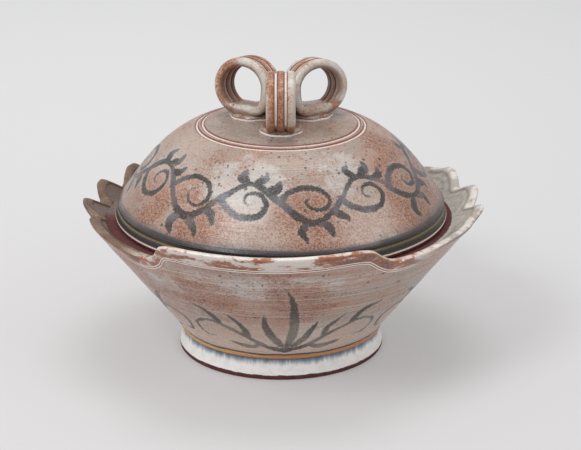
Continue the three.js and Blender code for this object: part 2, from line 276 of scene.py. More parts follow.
# Mesh steps, and the longest step along a profile
UNDER_ROWS = 7
WALL_ROWS = 58
LINE_ROWS = 22
BAND_ROWS = 12
UPSTAND_ROWS = 13
ROUND_ROWS = 9
FLANK_ROWS = 60
DOME_ROWS = 100
CROWN_ROWS = 24
FLANGE_ROWS = 30
HOLLOW_ROWS = 32
STRAP_COLUMNS = 85
COLLAR_STEPS = 96
COLLAR_ROWS = 14
LID_STEPS = 430
FOOT_STEPS = 360
LOOP_STEPS = 180
LEDGE_SPACING = 2.4 * MM
INSIDE_SPACING = 5 * MM
FOOT_SPACING = 0.8 * MM
RING_SPACING = 0.55 * MM
EDGE_SPACING = 1.2 * MM
LUG_COLUMN_DEG = 0.5
RIM_COLUMN_DEG = 1.0

random.seed(7)
cone_slope = math.tan(math.radians(CONE_FLARE_DEG))
cone_foot = FOOT_HEIGHT + BEAD_HEIGHT
lobe_reach = max(RIM_LEFT["lobe"], RIM_RIGHT["lobe"]) * MM


def lerp(a, b, share):
    return a + (b - a) * share


def ramp(value, start, end):
    return np.clip((value - start) / (end - start), 0, 1)


def smoothstep(value, low, high):
    t = min(max((value - low) / (high - low), 0), 1)
    return t * t * (3 - 2 * t)


# Curves

def smooth_through(points):
    """A monotone cubic through the points, which never swings past one."""
    slopes = [0.0] * len(points)
    for i in range(1, len(points) - 1):
        before = (points[i][1] - points[i - 1][1]) / (points[i][0] - points[i - 1][0])
        after = (points[i + 1][1] - points[i][1]) / (points[i + 1][0] - points[i][0])
        slopes[i] = 0 if before * after <= 0 else 2 * before * after / (before + after)

    def curve(at):
        i = next((k for k in range(1, len(points)) if at <= points[k][0]), len(points) - 1) - 1
        (a, low), (b, high) = points[i], points[i + 1]
        width = b - a
        t = (at - a) / width
        rest = 1 - t
        return (
            low * rest * rest * (1 + 2 * t)
            + slopes[i] * width * t * rest * rest
            + high * t * t * (3 - 2 * t)
            - slopes[i + 1] * width * t * t * rest
        )

    return curve


def through(points, per_span):
    """A Catmull-Rom curve through 2-D points, for brush strokes."""
    p = np.array([points[0], *points, points[-1]], float)
    made = []
    for a, b, c, d in zip(p, p[1:], p[2:], p[3:]):
        for t in np.linspace(0, 1, per_span, endpoint=False):
            square, cube = 2 * a - 5 * b + 4 * c - d, 3 * b - a - 3 * c + d
            made.append(0.5 * (2 * b + (c - a) * t + square * t * t + cube * t**3))
    return np.array([*made, p[-2]])


def dip(distance, half_width):
    """A round-bottomed groove's share of its depth at a distance from its middle."""
    return math.exp(-((distance / half_width) ** 2))


# Rim

def lobe(side, tip):
    def place(shape, reach):
        along, up = shape
        return (tip + reach * along, lerp(side["notch"], side["lobe"], up))

    return [
        place(LOBE_RISE, -LOBE_FRONT),
        place(LOBE_FRONT_TIP, -LOBE_FRONT),
        place(LOBE_BACK_TIP, LOBE_BACK),
        place(LOBE_FALL, LOBE_BACK),
    ]


def rim_side(side):
    corner, scoop, saddle, notch = side["corner"], side["scoop"], side["saddle"], side["notch"]
    return smooth_through([
        (0, PANEL_RISE),
        (FRONT_PANEL_END * CORNER_PLACE[0], (PANEL_RISE + corner) / 2),
        (FRONT_PANEL_END * CORNER_PLACE[1], corner),
        (FRONT_PANEL_END, corner * CORNER_SHOULDER),
        (lerp(FRONT_PANEL_END, FRONT_SCOOP_AT, 1 / 3), scoop + PANEL_RISE * SCOOP_SLOPE[0]),
        (lerp(FRONT_PANEL_END, FRONT_SCOOP_AT, 2 / 3), scoop + PANEL_RISE * SCOOP_SLOPE[1]),
        (FRONT_SCOOP_AT, scoop),
        (SADDLE_AT, saddle),
        (LUG_START - LUG_STEP, saddle * SADDLE_SHOULDER),
        (LUG_START, min(notch + LUG_STEP_RISE, saddle)),
        *lobe(side, LUG_MIDDLE - LOBE_PITCH),
        (LUG_MIDDLE - LOBE_FRONT, notch),
        *lobe(side, LUG_MIDDLE),
        (LUG_MIDDLE + LOBE_BACK, notch),
        *lobe(side, LUG_MIDDLE + LOBE_PITCH),
        (BACK_SCOOP_AT, scoop),
        (lerp(BACK_SCOOP_AT, BACK_PANEL_END, 2 / 3), scoop + PANEL_RISE * BACK_SCOOP_SLOPE),
        (BACK_PANEL_END, corner * CORNER_SHOULDER),
        (BACK_CORNER_AT, corner),
        (180, PANEL_RISE),
    ])


left_crest, right_crest = rim_side(RIM_LEFT), rim_side(RIM_RIGHT)
left_drop = smooth_through(LINE_DROP_LEFT + LINE_DROP_BACK)
right_drop = smooth_through(LINE_DROP_RIGHT + LINE_DROP_BACK)


def rim_at(azimuth):
    """The rim at an azimuth in degrees: crest height, outward flare, incised line's height and strength."""
    turn = (azimuth - FRONT_TURN + 180) % 360 - 180
    from_front = abs(turn)
    rise = left_crest if turn < 0 else right_crest
    drop = left_drop if turn < 0 else right_drop
    crest = SEAT_HEIGHT + rise(from_front) * MM
    start = smoothstep(from_front, SADDLE_AT, LUG_START)
    end = smoothstep(from_front, LUG_MIDDLE + LOBE_PITCH, BACK_SCOOP_AT)
    strength = 1 - smoothstep(from_front, LINE_FADE_FROM, LINE_FADE_TO)
    strength += smoothstep(from_front, 180 - LINE_FADE_TO, 180 - LINE_FADE_FROM)
    return crest, LUG_FLARE * (start - end), crest - drop(from_front) * MM, strength


def wall_outer(z, flare=0):
    above = max(z - SEAT_HEIGHT, 0) / lobe_reach
    return CONE_FOOT_RADIUS + cone_slope * (z - cone_foot) + flare * above


def upstand_inner(z, flare):
    left = 1 - min((z - SEAT_HEIGHT) / LIP_BLEND, 1)
    corner = wall_outer(SEAT_HEIGHT) - SEAT_OUTER_RADIUS - LIP_ACROSS
    return wall_outer(z, flare) - LIP_ACROSS - corner * left * left


# Mesh making

def object_of(name, data):
    made = bpy.data.objects.new(name, data)
    bpy.context.scene.collection.objects.link(made)
    return made


def mesh_object(name, vertices, faces):
    mesh = bpy.data.meshes.new(name)
    mesh.from_pydata(vertices, [], faces)
    return object_of(name, mesh)


def finish_skin(made):
    """Closes seams and poles, turns the faces outwards and shades them smooth."""
    work = bmesh.new()
    work.from_mesh(made.data)
    bmesh.ops.remove_doubles(work, verts=work.verts, dist=0.01 * MM)
    bmesh.ops.recalc_face_normals(work, faces=work.faces)
    work.to_mesh(made.data)
    work.free()
    made.data.polygons.foreach_set("use_smooth", [True] * len(made.data.polygons))
    made.data.update()


def paint(made, name, values):
    attribute = made.data.attributes.get(name) or made.data.attributes.new(name, "FLOAT", "POINT")
    attribute.data.foreach_set("value", np.asarray(values, np.float32))


def field(made, name):
    values = np.zeros(len(made.data.vertices))
    made.data.attributes[name].data.foreach_get("value", values)
    return values


def poly_curve(name, points, closed):
    curve = bpy.data.curves.new(name, "CURVE")
    curve.dimensions = "3D"
    spline = curve.splines.new("POLY")
    spline.points.add(len(points) - 1)
    for target, point in zip(spline.points, points):
        target.co = (*point, 1)
    spline.use_cyclic_u = closed
    return object_of(name, curve)


def section_round_path():
    """A node tree that carries a section round a level path, as a wheel or a hand does."""
    tree = bpy.data.node_groups.new("section carried round a path", "GeometryNodeTree")
    face = tree.interface
    face.new_socket("Path", in_out="INPUT", socket_type="NodeSocketGeometry")
    sockets = {
        "section": face.new_socket("Section", in_out="INPUT", socket_type="NodeSocketObject"),
        "steps": face.new_socket("Steps round", in_out="INPUT", socket_type="NodeSocketInt"),
        "material": face.new_socket("Finish", in_out="INPUT", socket_type="NodeSocketMaterial"),
    }
    face.new_socket("Clay", in_out="OUTPUT", socket_type="NodeSocketGeometry")
    nodes = tree.nodes
    given = nodes.new("NodeGroupInput")
    resample = nodes.new("GeometryNodeResampleCurve")
    resample.mode = "COUNT"
    normal = nodes.new("GeometryNodeSetCurveNormal")
    normal.mode = "Z_UP"
    section = nodes.new("GeometryNodeObjectInfo")
    carry = nodes.new("GeometryNodeCurveToMesh")
    finish = nodes.new("GeometryNodeSetMaterial")
    realize = nodes.new("GeometryNodeRealizeInstances")
    result = nodes.new("NodeGroupOutput")
    for source, out, target, into in (
        (given, "Path", resample, "Curve"),
        (given, "Steps round", resample, "Count"),
        (resample, "Curve", normal, "Curve"),
        (normal, "Curve", carry, "Curve"),
        (given, "Section", section, "Object"),
        (section, "Geometry", carry, "Profile Curve"),
        (carry, "Mesh", finish, "Geometry"),
        (given, "Finish", finish, "Material"),
        (finish, "Geometry", realize, "Geometry"),
        (realize, "Geometry", result, "Clay"),
    ):
        tree.links.new(source.outputs[out], target.inputs[into])
    return tree, {key: socket.identifier for key, socket in sockets.items()}


carry_tree, carry_inputs = section_round_path()


def carried(name, path, section, steps, material, closed_section):
    """The plain mesh of a section, as (out, up) points, carried round a level closed path."""
    path_curve = poly_curve(name + "_path", path, True)
    section_curve = poly_curve(name + "_section", [(out, -up, 0) for out, up in section], closed_section)
    modifier = path_curve.modifiers.new("section", "NODES")
    modifier.node_group = carry_tree
    modifier[carry_inputs["section"]] = section_curve
    modifier[carry_inputs["steps"]] = steps
    modifier[carry_inputs["material"]] = material
    graph = bpy.context.evaluated_depsgraph_get()
    mesh = bpy.data.meshes.new_from_object(path_curve.evaluated_get(graph))
    path_curve.modifiers.clear()
    bpy.data.objects.remove(path_curve)
    bpy.data.objects.remove(section_curve)
    made = object_of(name, mesh)
    finish_skin(made)
    return made


def turned(name, profile, steps, material, closed):
    """A wheel-turned piece from its (radius, height) profile."""
    wheel = profile[0][0] if closed else FOOT_RADIUS
    turns = [2 * math.pi * i / steps for i in range(steps)]
    path = [(wheel * math.cos(turn), wheel * math.sin(turn), 0) for turn in turns]
    return carried(name, path, [(r - wheel, z) for r, z in profile], steps, material, closed)


def densify(points, spacing):
    made = [points[0]]
    for (r0, z0), (r1, z1) in zip(points, points[1:]):
        count = max(1, math.ceil(math.hypot(r1 - r0, z1 - z0) / spacing))
        made += [(lerp(r0, r1, i / count), lerp(z0, z1, i / count)) for i in range(1, count + 1)]
    return made


def between(a, b, share):
    return (lerp(a[0], b[0], share), lerp(a[1], b[1], share))


def rounded(points, radius):
    """A polyline with each inner corner rounded by a short quadratic curve."""
    made = [points[0]]
    for before, at, after in zip(points, points[1:], points[2:]):
        ends = []
        for other in (before, after):
            length = math.hypot(other[0] - at[0], other[1] - at[1])
            ends.append(between(at, other, min(radius / max(length, 1e-9), 0.45)))
        for t in (0, 0.25, 0.5, 0.75, 1):
            made.append(between(between(ends[0], at, t), between(at, ends[1], t), t))
    return [*made, points[-1]]


# Brush strokes

def sweep(points, half_width, shape, load=1.0):
    """One brush stroke: points along it, its half width at each, and how much colour it carries there."""
    path = through(points, STROKE_STEPS)
    t = np.linspace(0, 1, len(path))
    waver = [random.uniform(0, 6) for _ in range(2)]
    path = path + HAND_WAVER * np.sin(np.outer(t, (7, 9)) + waver)
    half_width = half_width * random.uniform(0.85, 1.15)
    if shape == "dab":
        pressure = np.clip(np.sin(np.pi * t**0.7), 0, 1) ** 0.75
    elif shape == "tail":
        pressure = 1 - 0.72 * t**1.4
    else:
        pressure = 0.85 + 0.15 * np.sin(6.5 * t + points[0][0] * 9)
    ink = load * (0.72 + 0.28 * np.cos(5.1 * t + points[0][1] * 11))
    return path, half_width * pressure, ink


def scroll():
    """A leafy scroll: a waving stem with a curl in each hollow and leaves outside each bend."""
    swing, half_wave = SCROLL_SWING, math.pi / SCROLL_WAVES
    strokes = []
    for k in range(2 * SCROLL_WAVES):
        up = 1 if k % 2 else -1
        peak = (k + 0.5) * half_wave
        stretch = random.uniform(0.9, 1.12)

        def at(along, high):
            return (peak + along * half_wave, SCROLL_MIDDLE + up * high * stretch)

        stem = [at(t - 0.5, swing * math.sin(math.pi * t)) for t in np.linspace(0, 1, 9)]
        strokes.append(sweep(stem, SCROLL_STROKE, "stem"))
        curl = [
            at(-0.5, 0), at(-0.36, -0.075), at(-0.12, -0.125), at(0.16, -0.105), at(0.29, -0.01),
            at(0.17, 0.068), at(-0.02, 0.062), at(-0.09, 0), at(0, -0.036),
        ]
        strokes.append(sweep(curl, SCROLL_STROKE, "tail", 0.9))
        leaves = (
            [at(-0.1, swing + 0.01), at(-0.2, swing + 0.07), at(-0.13, swing + 0.145)],
            [at(0.06, swing + 0.01), at(0.2, swing + 0.05), at(0.26, swing + 0.13)],
            [at(0.3, swing * 0.62), at(0.44, swing * 0.8), at(0.53, swing * 1.2)],
        )
        strokes += [sweep(leaf, BROAD_LEAF, "dab", 1.05) for leaf in leaves]
    return strokes


def sprigs():
    """Sprigs rising from the foot: upright leaves, and a bowed stem with leaves to each side."""
    strokes = []
    upright = (
        [(0, 0.14), (0.06, 0.42), (0.04, 0.72), (-0.02, 0.95)],
        [(-0.03, 0.16), (-0.13, 0.4), (-0.15, 0.66)],
        [(0.04, 0.16), (0.17, 0.34), (0.22, 0.56)],
    )
    bow = [(0.01, 0.1), (0.18, 0.17), (0.38, 0.36), (0.57, 0.48), (0.72, 0.4), (0.7, 0.25), (0.6, 0.24)]
    bow_leaves = (
        [(0.3, 0.27), (0.32, 0.46), (0.42, 0.62)],
        [(0.48, 0.44), (0.55, 0.6), (0.67, 0.68)],
        [(0.22, 0.17), (0.36, 0.15), (0.5, 0.21)],
    )
    for k in range(SPRIG_COUNT):
        foot = k * 2 * math.pi / SPRIG_COUNT + SPRIG_TURN

        def at(points, side=1):
            return [(foot + side * along, high) for along, high in points]

        strokes += [sweep(at(leaf), BROAD_LEAF, "dab", 1.0) for leaf in upright]
        for side in (1, -1):
            strokes.append(sweep(at(bow, side), SPRIG_STROKE, "tail", 0.9))
            strokes += [sweep(at(leaf, side), SPRIG_LEAF, "dab", 0.85) for leaf in bow_leaves]
    return strokes


def brush_on(made, strokes, profile, outer):
    """Lays strokes, drawn as (angle, even-scale height), on a turned surface, and stores for each point
    how far inside the nearest stroke it lies, and that stroke's load of colour."""
    heights = [0.0]
    for (r0, z0), (r1, z1) in zip(profile, profile[1:]):
        heights.append(heights[-1] + math.hypot(r1 - r0, z1 - z0) / max((r0 + r1) / 2, 1 * MM))
    radii, levels = np.array(profile).T
    spots = []
    for path, half_width, ink in strokes:
        r = np.interp(path[:, 1], heights, radii)
        z = np.interp(path[:, 1], heights, levels)
        x, y = r * np.sin(path[:, 0]), -r * np.cos(path[:, 0])
        spots += list(zip(x, y, z, half_width, ink))
    tree = kdtree.KDTree(len(spots))
    for i, spot in enumerate(spots):
        tree.insert(spot[:3], i)
    tree.balance()
    edge = np.full(len(made.data.vertices), NO_INK)
    load = np.zeros(len(edge))
    for i, vertex in enumerate(made.data.vertices):
        if not outer[i]:
            continue
        for _, k, distance in tree.find_n(vertex.co, 6):
            if spots[k][3] - distance > edge[i]:
                edge[i] = spots[k][3] - distance
                load[i] = spots[k][4]
    paint(made, "ink_edge", edge)
    paint(made, "ink_load", load)


# Materials

def tint(red, green, blue):
    """A colour judged from 0 to 255, as the shader's linear value."""
    return (*[((c / 255 + 0.055) / 1.055) ** 2.4 for c in (red, green, blue)], 1)


# Glaze and clay
WARM_GROUND = tint(176, 146, 130)
COOL_GROUND = tint(168, 151, 140)
GREY_GROUND = tint(166, 153, 143)
WHITE_PATCH = tint(196, 190, 185)
RUST_WASH = tint(178, 124, 96)
RUST_AND_LINE_SHADOW = tint(142, 94, 72)
RUST_DEEP = tint(98, 58, 48)
SPECK = tint(58, 36, 34)
MAROON = tint(76, 32, 35)
MAROON_PALE = tint(102, 50, 48)
CREAM = tint(226, 210, 198)
INK_BLUE = tint(54, 66, 80)
INK_OLIVE = tint(56, 60, 54)
INK_IRON = tint(38, 37, 38)

# Lid
LID_PALE = tint(202, 188, 179)
FLANK_PAINTED_SHADE = tint(120, 96, 84)
SHOULDER_BROWN = tint(120, 102, 90)
DISC_GREY = tint(138, 123, 112)
RING_RED = tint(118, 62, 52)
BAND_BLUE = tint(80, 80, 86)
BAND_GREY = tint(62, 62, 65)
BAND_OLIVE = tint(66, 57, 44)
CHARCOAL = tint(36, 35, 38)
OCHRE = tint(146, 128, 84)

# Bowl
PALE_LINE = tint(210, 198, 188)
LOW_WALL_PAINTED_LIGHT = tint(222, 198, 184)
RIM_WHITE = tint(220, 213, 207)
RIM_RUST = tint(162, 98, 66)
INCISED_WHITE = tint(236, 226, 218)
INSIDE_OLIVE_AND_SHADE = tint(90, 69, 54)
PALE_GREY = tint(172, 166, 158)
MARK_BROWN = tint(86, 70, 60)
LIP_WHITE = tint(216, 207, 198)
LIP_GREY = tint(174, 168, 161)
LIP_TAN = tint(160, 136, 119)
LIP_OLIVE = tint(112, 86, 66)
LIP_BROWN = tint(96, 62, 44)
LIP_PALE = tint(170, 162, 142)
CREST_PAINTED_HIGHLIGHT = tint(238, 232, 226)
LIP_LINE = tint(92, 84, 76)
LINE_DARK = tint(64, 60, 50)
LINE_ORANGE = tint(196, 130, 74)
LINE_YELLOW = tint(204, 158, 92)

# Foot ring
FOOT_WHITE = tint(248, 247, 245)
FOOT_SHADE = tint(236, 234, 232)
FOOT_BLUE = tint(112, 130, 152)
FOOT_SLATE = tint(68, 88, 104)
FOOT_BLUSH = tint(222, 186, 170)

# Straps and collars
STRAP_PALE = tint(206, 200, 192)
STRAP_GREY = tint(192, 178, 166)
STRAP_BROWN = tint(190, 140, 108)
STRAP_RUST = tint(132, 82, 58)
STRAP_SPECK_AND_CREASE_SHADE = tint(104, 66, 50)
STRAP_INSIDE_AND_SHADE = tint(112, 68, 48)
STRAP_TUCKED = tint(150, 98, 68)
STRAP_FOOT = tint(124, 84, 64)
GROOVE_EDGE = tint(108, 58, 44)
GROOVE_CREAM = tint(236, 228, 221)
COLLAR_PALE = tint(172, 158, 146)
COLLAR_TAN = tint(146, 104, 82)
COLLAR_DARK = tint(96, 58, 44)
COLLAR_LINE = tint(108, 64, 50)
COLLAR_WHITE = tint(236, 226, 220)

# Stage
FLOOR_NEAR_SHADED = tint(215, 213, 214)
FLOOR_FAR = tint(226, 226, 227)
FLOOR_RIGHT_SHADED = tint(206, 206, 207)


class Recipe:
    """A material under making: adds nodes and links them."""

    def __init__(self, name):
        self.material = bpy.data.materials.new(name)
        self.material.use_nodes = True
        self.tree = self.material.node_tree
        self.shader = self.tree.nodes["Principled BSDF"]
        self.place = self.node("ShaderNodeTexCoord").outputs["Object"]
        self.x, self.y, self.z = self.node("ShaderNodeSeparateXYZ", {"Vector": self.place}).outputs
        level = self.node("ShaderNodeCombineXYZ", {"X": self.x, "Y": self.y}).outputs[0]
        self.radius = self.node("ShaderNodeVectorMath", {0: level}, operation="LENGTH").outputs["Value"]

    def node(self, kind, inputs=None, **settings):
        made = self.tree.nodes.new(kind)
        for key, value in settings.items():
            setattr(made, key, value)
        for key, value in (inputs or {}).items():
            self.put(made.inputs[key], value)
        return made

    def put(self, socket, value):
        if isinstance(value, bpy.types.NodeSocket):
            self.tree.links.new(value, socket)
        else:
            socket.default_value = value

    def math(self, operation, *values):
        return self.node("ShaderNodeMath", dict(enumerate(values)), operation=operation).outputs[0]

    def plus(self, total, *others):
        for other in others:
            total = self.math("ADD", total, other)
        return total

    def minus(self, a, b):
        return self.math("SUBTRACT", a, b)

    def times(self, product, *others):
        for other in others:
            product = self.math("MULTIPLY", product, other)
        return product

    def highest(self, a, b):
        return self.math("MAXIMUM", a, b)

    def size_of(self, value):
        return self.math("ABSOLUTE", value)

    def spread(self, value, low, high, start=0.0, end=1.0):
        """A soft step from start to end as the value goes from low to high."""
        ends = {"Value": value, "From Min": low, "From Max": high, "To Min": start, "To Max": end}
        return self.node("ShaderNodeMapRange", ends, interpolation_type="SMOOTHSTEP").outputs["Result"]

    def near(self, value, middle, half, soft):
        """1 within half of the middle, fading to 0 over soft."""
        return self.spread(self.size_of(self.minus(value, middle)), half, half + soft, 1.0, 0.0)

    def ruffled(self, value, by, gain):
        """The value moved up and down by a noise, which lies round 0.5."""
        return self.plus(value, self.times(self.minus(by, 0.5), gain))

    def noise(self, scale, detail=3.0, roughness=0.5, distortion=0.0, up=1.0, place=None):
        """Noise by place. Over 1, up flattens it into level clouds; under 1, it draws it into runs."""
        place = place or self.place
        if up != 1:
            place = self.node("ShaderNodeMapping", {"Vector": place, "Scale": (1, 1, up)}).outputs[0]
        given = {"Vector": place, "Scale": scale, "Detail": detail}
        given |= {"Roughness": roughness, "Distortion": distortion}
        return self.node("ShaderNodeTexNoise", given).outputs["Fac"]

    def mix(self, share, a, b, blend="MIX"):
        inputs = {0: share, 6: a, 7: b}
        return self.node("ShaderNodeMix", inputs, data_type="RGBA", blend_type=blend).outputs[2]

    def over(self, colour, tone, *shares):
        """The colour with a tone laid over it, by all the shares multiplied."""
        return self.mix(self.times(*shares), colour, tone)

    def attribute(self, name):
        return self.node("ShaderNodeAttribute", attribute_name=name).outputs["Fac"]

    def specks(self, scale, share, largest):
        """Round iron specks in a share of the cells of a random mesh."""
        cells = self.node("ShaderNodeTexVoronoi", {"Vector": self.place, "Scale": scale}).outputs
        chance = self.node("ShaderNodeSeparateColor", {"Color": cells["Color"]}).outputs[0]
        size = self.spread(chance, 1 - share, 1.0, 0.0, largest)
        return self.spread(self.minus(size, cells["Distance"]), -0.02, 0.03)


class Clay(Recipe):
    """A recipe with the grain and throwing lines that all the glazes here share, and a colour to lay on."""

    def __init__(self, name):
        super().__init__(name)
        self.colour = None
        self.fine = self.noise(950, 2, 0.6)
        self.grain = self.spread(self.noise(720, 2, 0.6), 0.32, 0.68)
        self.coarse = self.noise(260, 3, 0.6)
        self.along = self.attribute("along")
        self.lines = self.thrown(700, 9)
        self.wide_lines = self.thrown(210, 5)

    def thrown(self, tight, loose):
        """Noise drawn out into level lines, as fingers leave on the wheel."""
        x, y = self.times(self.x, loose), self.times(self.y, loose)
        turning = self.node("ShaderNodeCombineXYZ", {"X": x, "Y": y, "Z": self.times(self.along, tight)})
        return self.noise(1, 2, 0.6, place=turning.outputs[0])

    def patches(self, centres, reach, gain):
        """The gain at some places on the surface, fading to 0 at their reach."""
        total = 0.0
        for centre in centres:
            away = self.node("ShaderNodeVectorMath", {0: self.place, 1: centre}, operation="DISTANCE")
            total = self.plus(total, self.spread(away.outputs["Value"], reach / 4, reach, gain, 0.0))
        return total

    def shaded(self, colour, value, low, high):
        shade = self.spread(value, 0.3, 0.7, low, high)
        grey = self.node("ShaderNodeCombineColor", {0: shade, 1: shade, 2: shade}).outputs[0]
        return self.mix(1.0, colour, grey, "MULTIPLY")

    def shade(self, value, low, high):
        self.colour = self.shaded(self.colour, value, low, high)

    def lay(self, tone, *shares):
        self.colour = self.over(self.colour, tone, *shares)

    def stoneware(self, ground, cool, white, rust, streak, iron):
        """The glazed body: a mottled ground that breaks white in clouds, and rust in grains.
        White and rust say how much of each there is, and iron how thick the specks lie, from 0 to 1."""
        flow = self.ruffled(self.ruffled(0.0, self.lines, 0.9), self.wide_lines, 0.7)
        cloud = self.noise(24, 4, 0.55, 0.3, up=1.9)
        self.colour = self.mix(self.spread(cloud, 0.42, 0.58), ground, cool)
        pale = self.ruffled(self.noise(19, 5, 0.62, 0.6, up=2.2), self.coarse, 0.4)
        whiteness = self.spread(self.plus(pale, self.times(flow, 0.14), white), 0.94, 1.12)
        self.lay(WHITE_PATCH, whiteness, 0.92)
        aside = self.node("ShaderNodeVectorMath", {0: self.place, 1: (0.31, 0.17, 0.05)}, operation="ADD")
        red = self.noise(22, 6, 0.65, 0.5, up=1.7, place=aside.outputs[0])
        cover = self.spread(self.plus(red, self.times(flow, 0.22), rust), 0.86, 1.14)
        cover = self.minus(cover, self.times(whiteness, 0.25))
        self.lay(RUST_WASH, cover, 0.62)
        grains = self.plus(self.ruffled(self.grain, self.coarse, 0.8), self.times(cover, 0.6))
        self.lay(RUST_AND_LINE_SHADOW, self.spread(grains, 0.85, 1.3, 0.0, 0.6))
        pepper = self.plus(self.spread(self.fine, 0.34, 0.66), self.times(cover, 0.4))
        pepper = self.ruffled(pepper, self.coarse, 0.5)
        self.lay(RUST_DEEP, self.spread(pepper, 1.02, 1.25, 0.0, 0.75))
        salt = self.plus(self.fine, self.times(cover, 0.1))
        self.lay(WHITE_PATCH, self.spread(salt, 0.34, 0.44, 0.35, 0.0))
        self.shade(self.grain, 1.05, 0.93)
        self.shade(self.lines, 1 - streak, 1 + streak)
        self.lay(SPECK, self.specks(170, iron, 0.22), 0.85)
        self.lay(RUST_DEEP, self.specks(330, 0.6, 0.32), 0.75)

    def brush(self, thin):
        """Brush colour under the glaze, paler where it is thin, iron-dark where loaded, and grainy."""
        reach = self.ruffled(self.attribute("ink_edge"), self.noise(150, 3, 0.6), 2.4 * MM)
        reach = self.ruffled(reach, self.fine, 2.6 * MM)
        self.lay(WHITE_PATCH, self.spread(reach, -3.4 * MM, -0.4 * MM, 0.0, 0.12))
        tone = self.ruffled(self.attribute("ink_load"), self.noise(45, 4, 0.6), 1.7)
        ink = self.mix(self.spread(tone, 0.45, 0.85), thin, INK_IRON)
        ink = self.shaded(self.shaded(ink, self.grain, 0.85, 1.2), self.fine, 0.75, 1.3)
        cover = self.spread(reach, -0.5 * MM, 0.7 * MM, 0.0, self.spread(tone, 0.2, 0.9, 0.7, 0.97))
        self.lay(ink, cover, self.spread(self.fine, 0.32, 0.62, 0.78, 1.0))

    def satin(self, bare=0.0):
        """Satin glaze over a fine orange-peel surface, or dull, sandy maroon clay where it is bare."""
        clay = self.mix(self.spread(self.plus(self.fine, self.coarse), 0.7, 1.3), MAROON, MAROON_PALE)
        rough = self.highest(self.spread(self.coarse, 0.3, 0.7, 0.24, 0.4), self.times(bare, 0.85))
        sand = self.times(self.fine, self.plus(0.14, self.times(bare, 0.5)))
        height = self.plus(self.times(self.lines, 0.7), self.times(self.coarse, 0.5), sand)
        bump = self.node("ShaderNodeBump", {"Height": height, "Distance": SKIN_RELIEF, "Strength": 1.0})
        self.lay(clay, bare)
        self.put(self.shader.inputs["Base Color"], self.colour)
        self.put(self.shader.inputs["Roughness"], rough)
        self.put(self.shader.inputs["Normal"], bump.outputs[0])
        self.shader.inputs["IOR"].default_value = GLAZE_IOR
        return self.material


def lid_material():
    r = Clay("lid_stoneware_glaze")
    outer = r.attribute("outer")
    white = r.plus(0.37, r.patches(LID_WHITE_AT, 34 * MM, 0.21))
    white = r.minus(white, r.spread(r.radius, 40 * MM, 62 * MM, 0.12, 0.0))
    white = r.minus(white, r.patches(LID_RUST_AT, 40 * MM, 0.1))
    rust = r.plus(r.spread(r.x, 30 * MM, 110 * MM, 0.42, 0.52), r.patches(LID_RUST_AT, 45 * MM, 0.17))
    rust = r.minus(rust, r.spread(r.radius, 48 * MM, 76 * MM, 0.06, 0.0))
    r.stoneware(WARM_GROUND, COOL_GROUND, white, rust, 0.06, 0.7)
    cloud = r.times(r.patches(LID_PALE_AT, 40 * MM, 0.55), r.spread(r.grain, 0.2, 0.8, 1.0, 0.6))
    r.lay(LID_PALE, outer, cloud)
    # Painted shade: the lid's outside darkens towards its left and right flanks
    shaded_flanks = r.spread(r.size_of(r.x), 74 * MM, 112 * MM, 0.0, 0.4)
    r.lay(FLANK_PAINTED_SHADE, outer, shaded_flanks)
    r.lay(SHOULDER_BROWN, outer, r.spread(r.z, 128 * MM, 160 * MM, 0.0, 0.16))
    disc = r.spread(r.radius, 54 * MM, 57 * MM, 0.75, 0.0)
    mottle = r.spread(r.ruffled(r.coarse, r.noise(60, 4, 0.6), 0.8), 0.35, 0.7, 0.1, 1.0)
    r.lay(DISC_GREY, outer, disc, mottle)
    for ring in CROWN_RINGS:
        r.lay(RING_RED, outer, r.near(r.radius, ring, 1.2 * MM, 0.7 * MM))
        r.lay(CREAM, outer, r.near(r.radius, ring, 0.35 * MM, 0.5 * MM))
    r.brush(INK_BLUE)

    up = r.minus(r.z, LID_BOTTOM)
    level = r.ruffled(r.ruffled(up, r.noise(22, 2), 7 * MM), r.wide_lines, 9 * MM)
    haze = r.spread(level, 12 * MM, 19 * MM, 0.85, 0.0)
    worn = r.spread(r.ruffled(r.fine, r.lines, 0.8), 0.3, 0.6, 0.65, 1.0)
    r.lay(BAND_BLUE, outer, haze, worn)
    dark = r.mix(r.spread(r.ruffled(r.lines, r.fine, 0.5), 0.4, 0.66), CHARCOAL, BAND_GREY)
    dark = r.over(dark, BAND_OLIVE, r.spread(r.wide_lines, 0.42, 0.6), 0.6)
    r.lay(dark, outer, r.spread(level, 11 * MM, 15 * MM, 0.95, 0.0))
    r.lay(OCHRE, outer, r.near(up, LID_GROOVE_HEIGHT, 0.45 * MM, 0.6 * MM), 0.6)
    r.lay(CREAM, outer, r.near(up, LID_EDGE_HEIGHT, 0.45 * MM, 0.45 * MM))
    bare = r.spread(r.ruffled(up, r.noise(90, 4, 0.7), 0.6 * MM), 2.3 * MM, 2.7 * MM, 1.0, 0.0)
    return r.satin(bare)


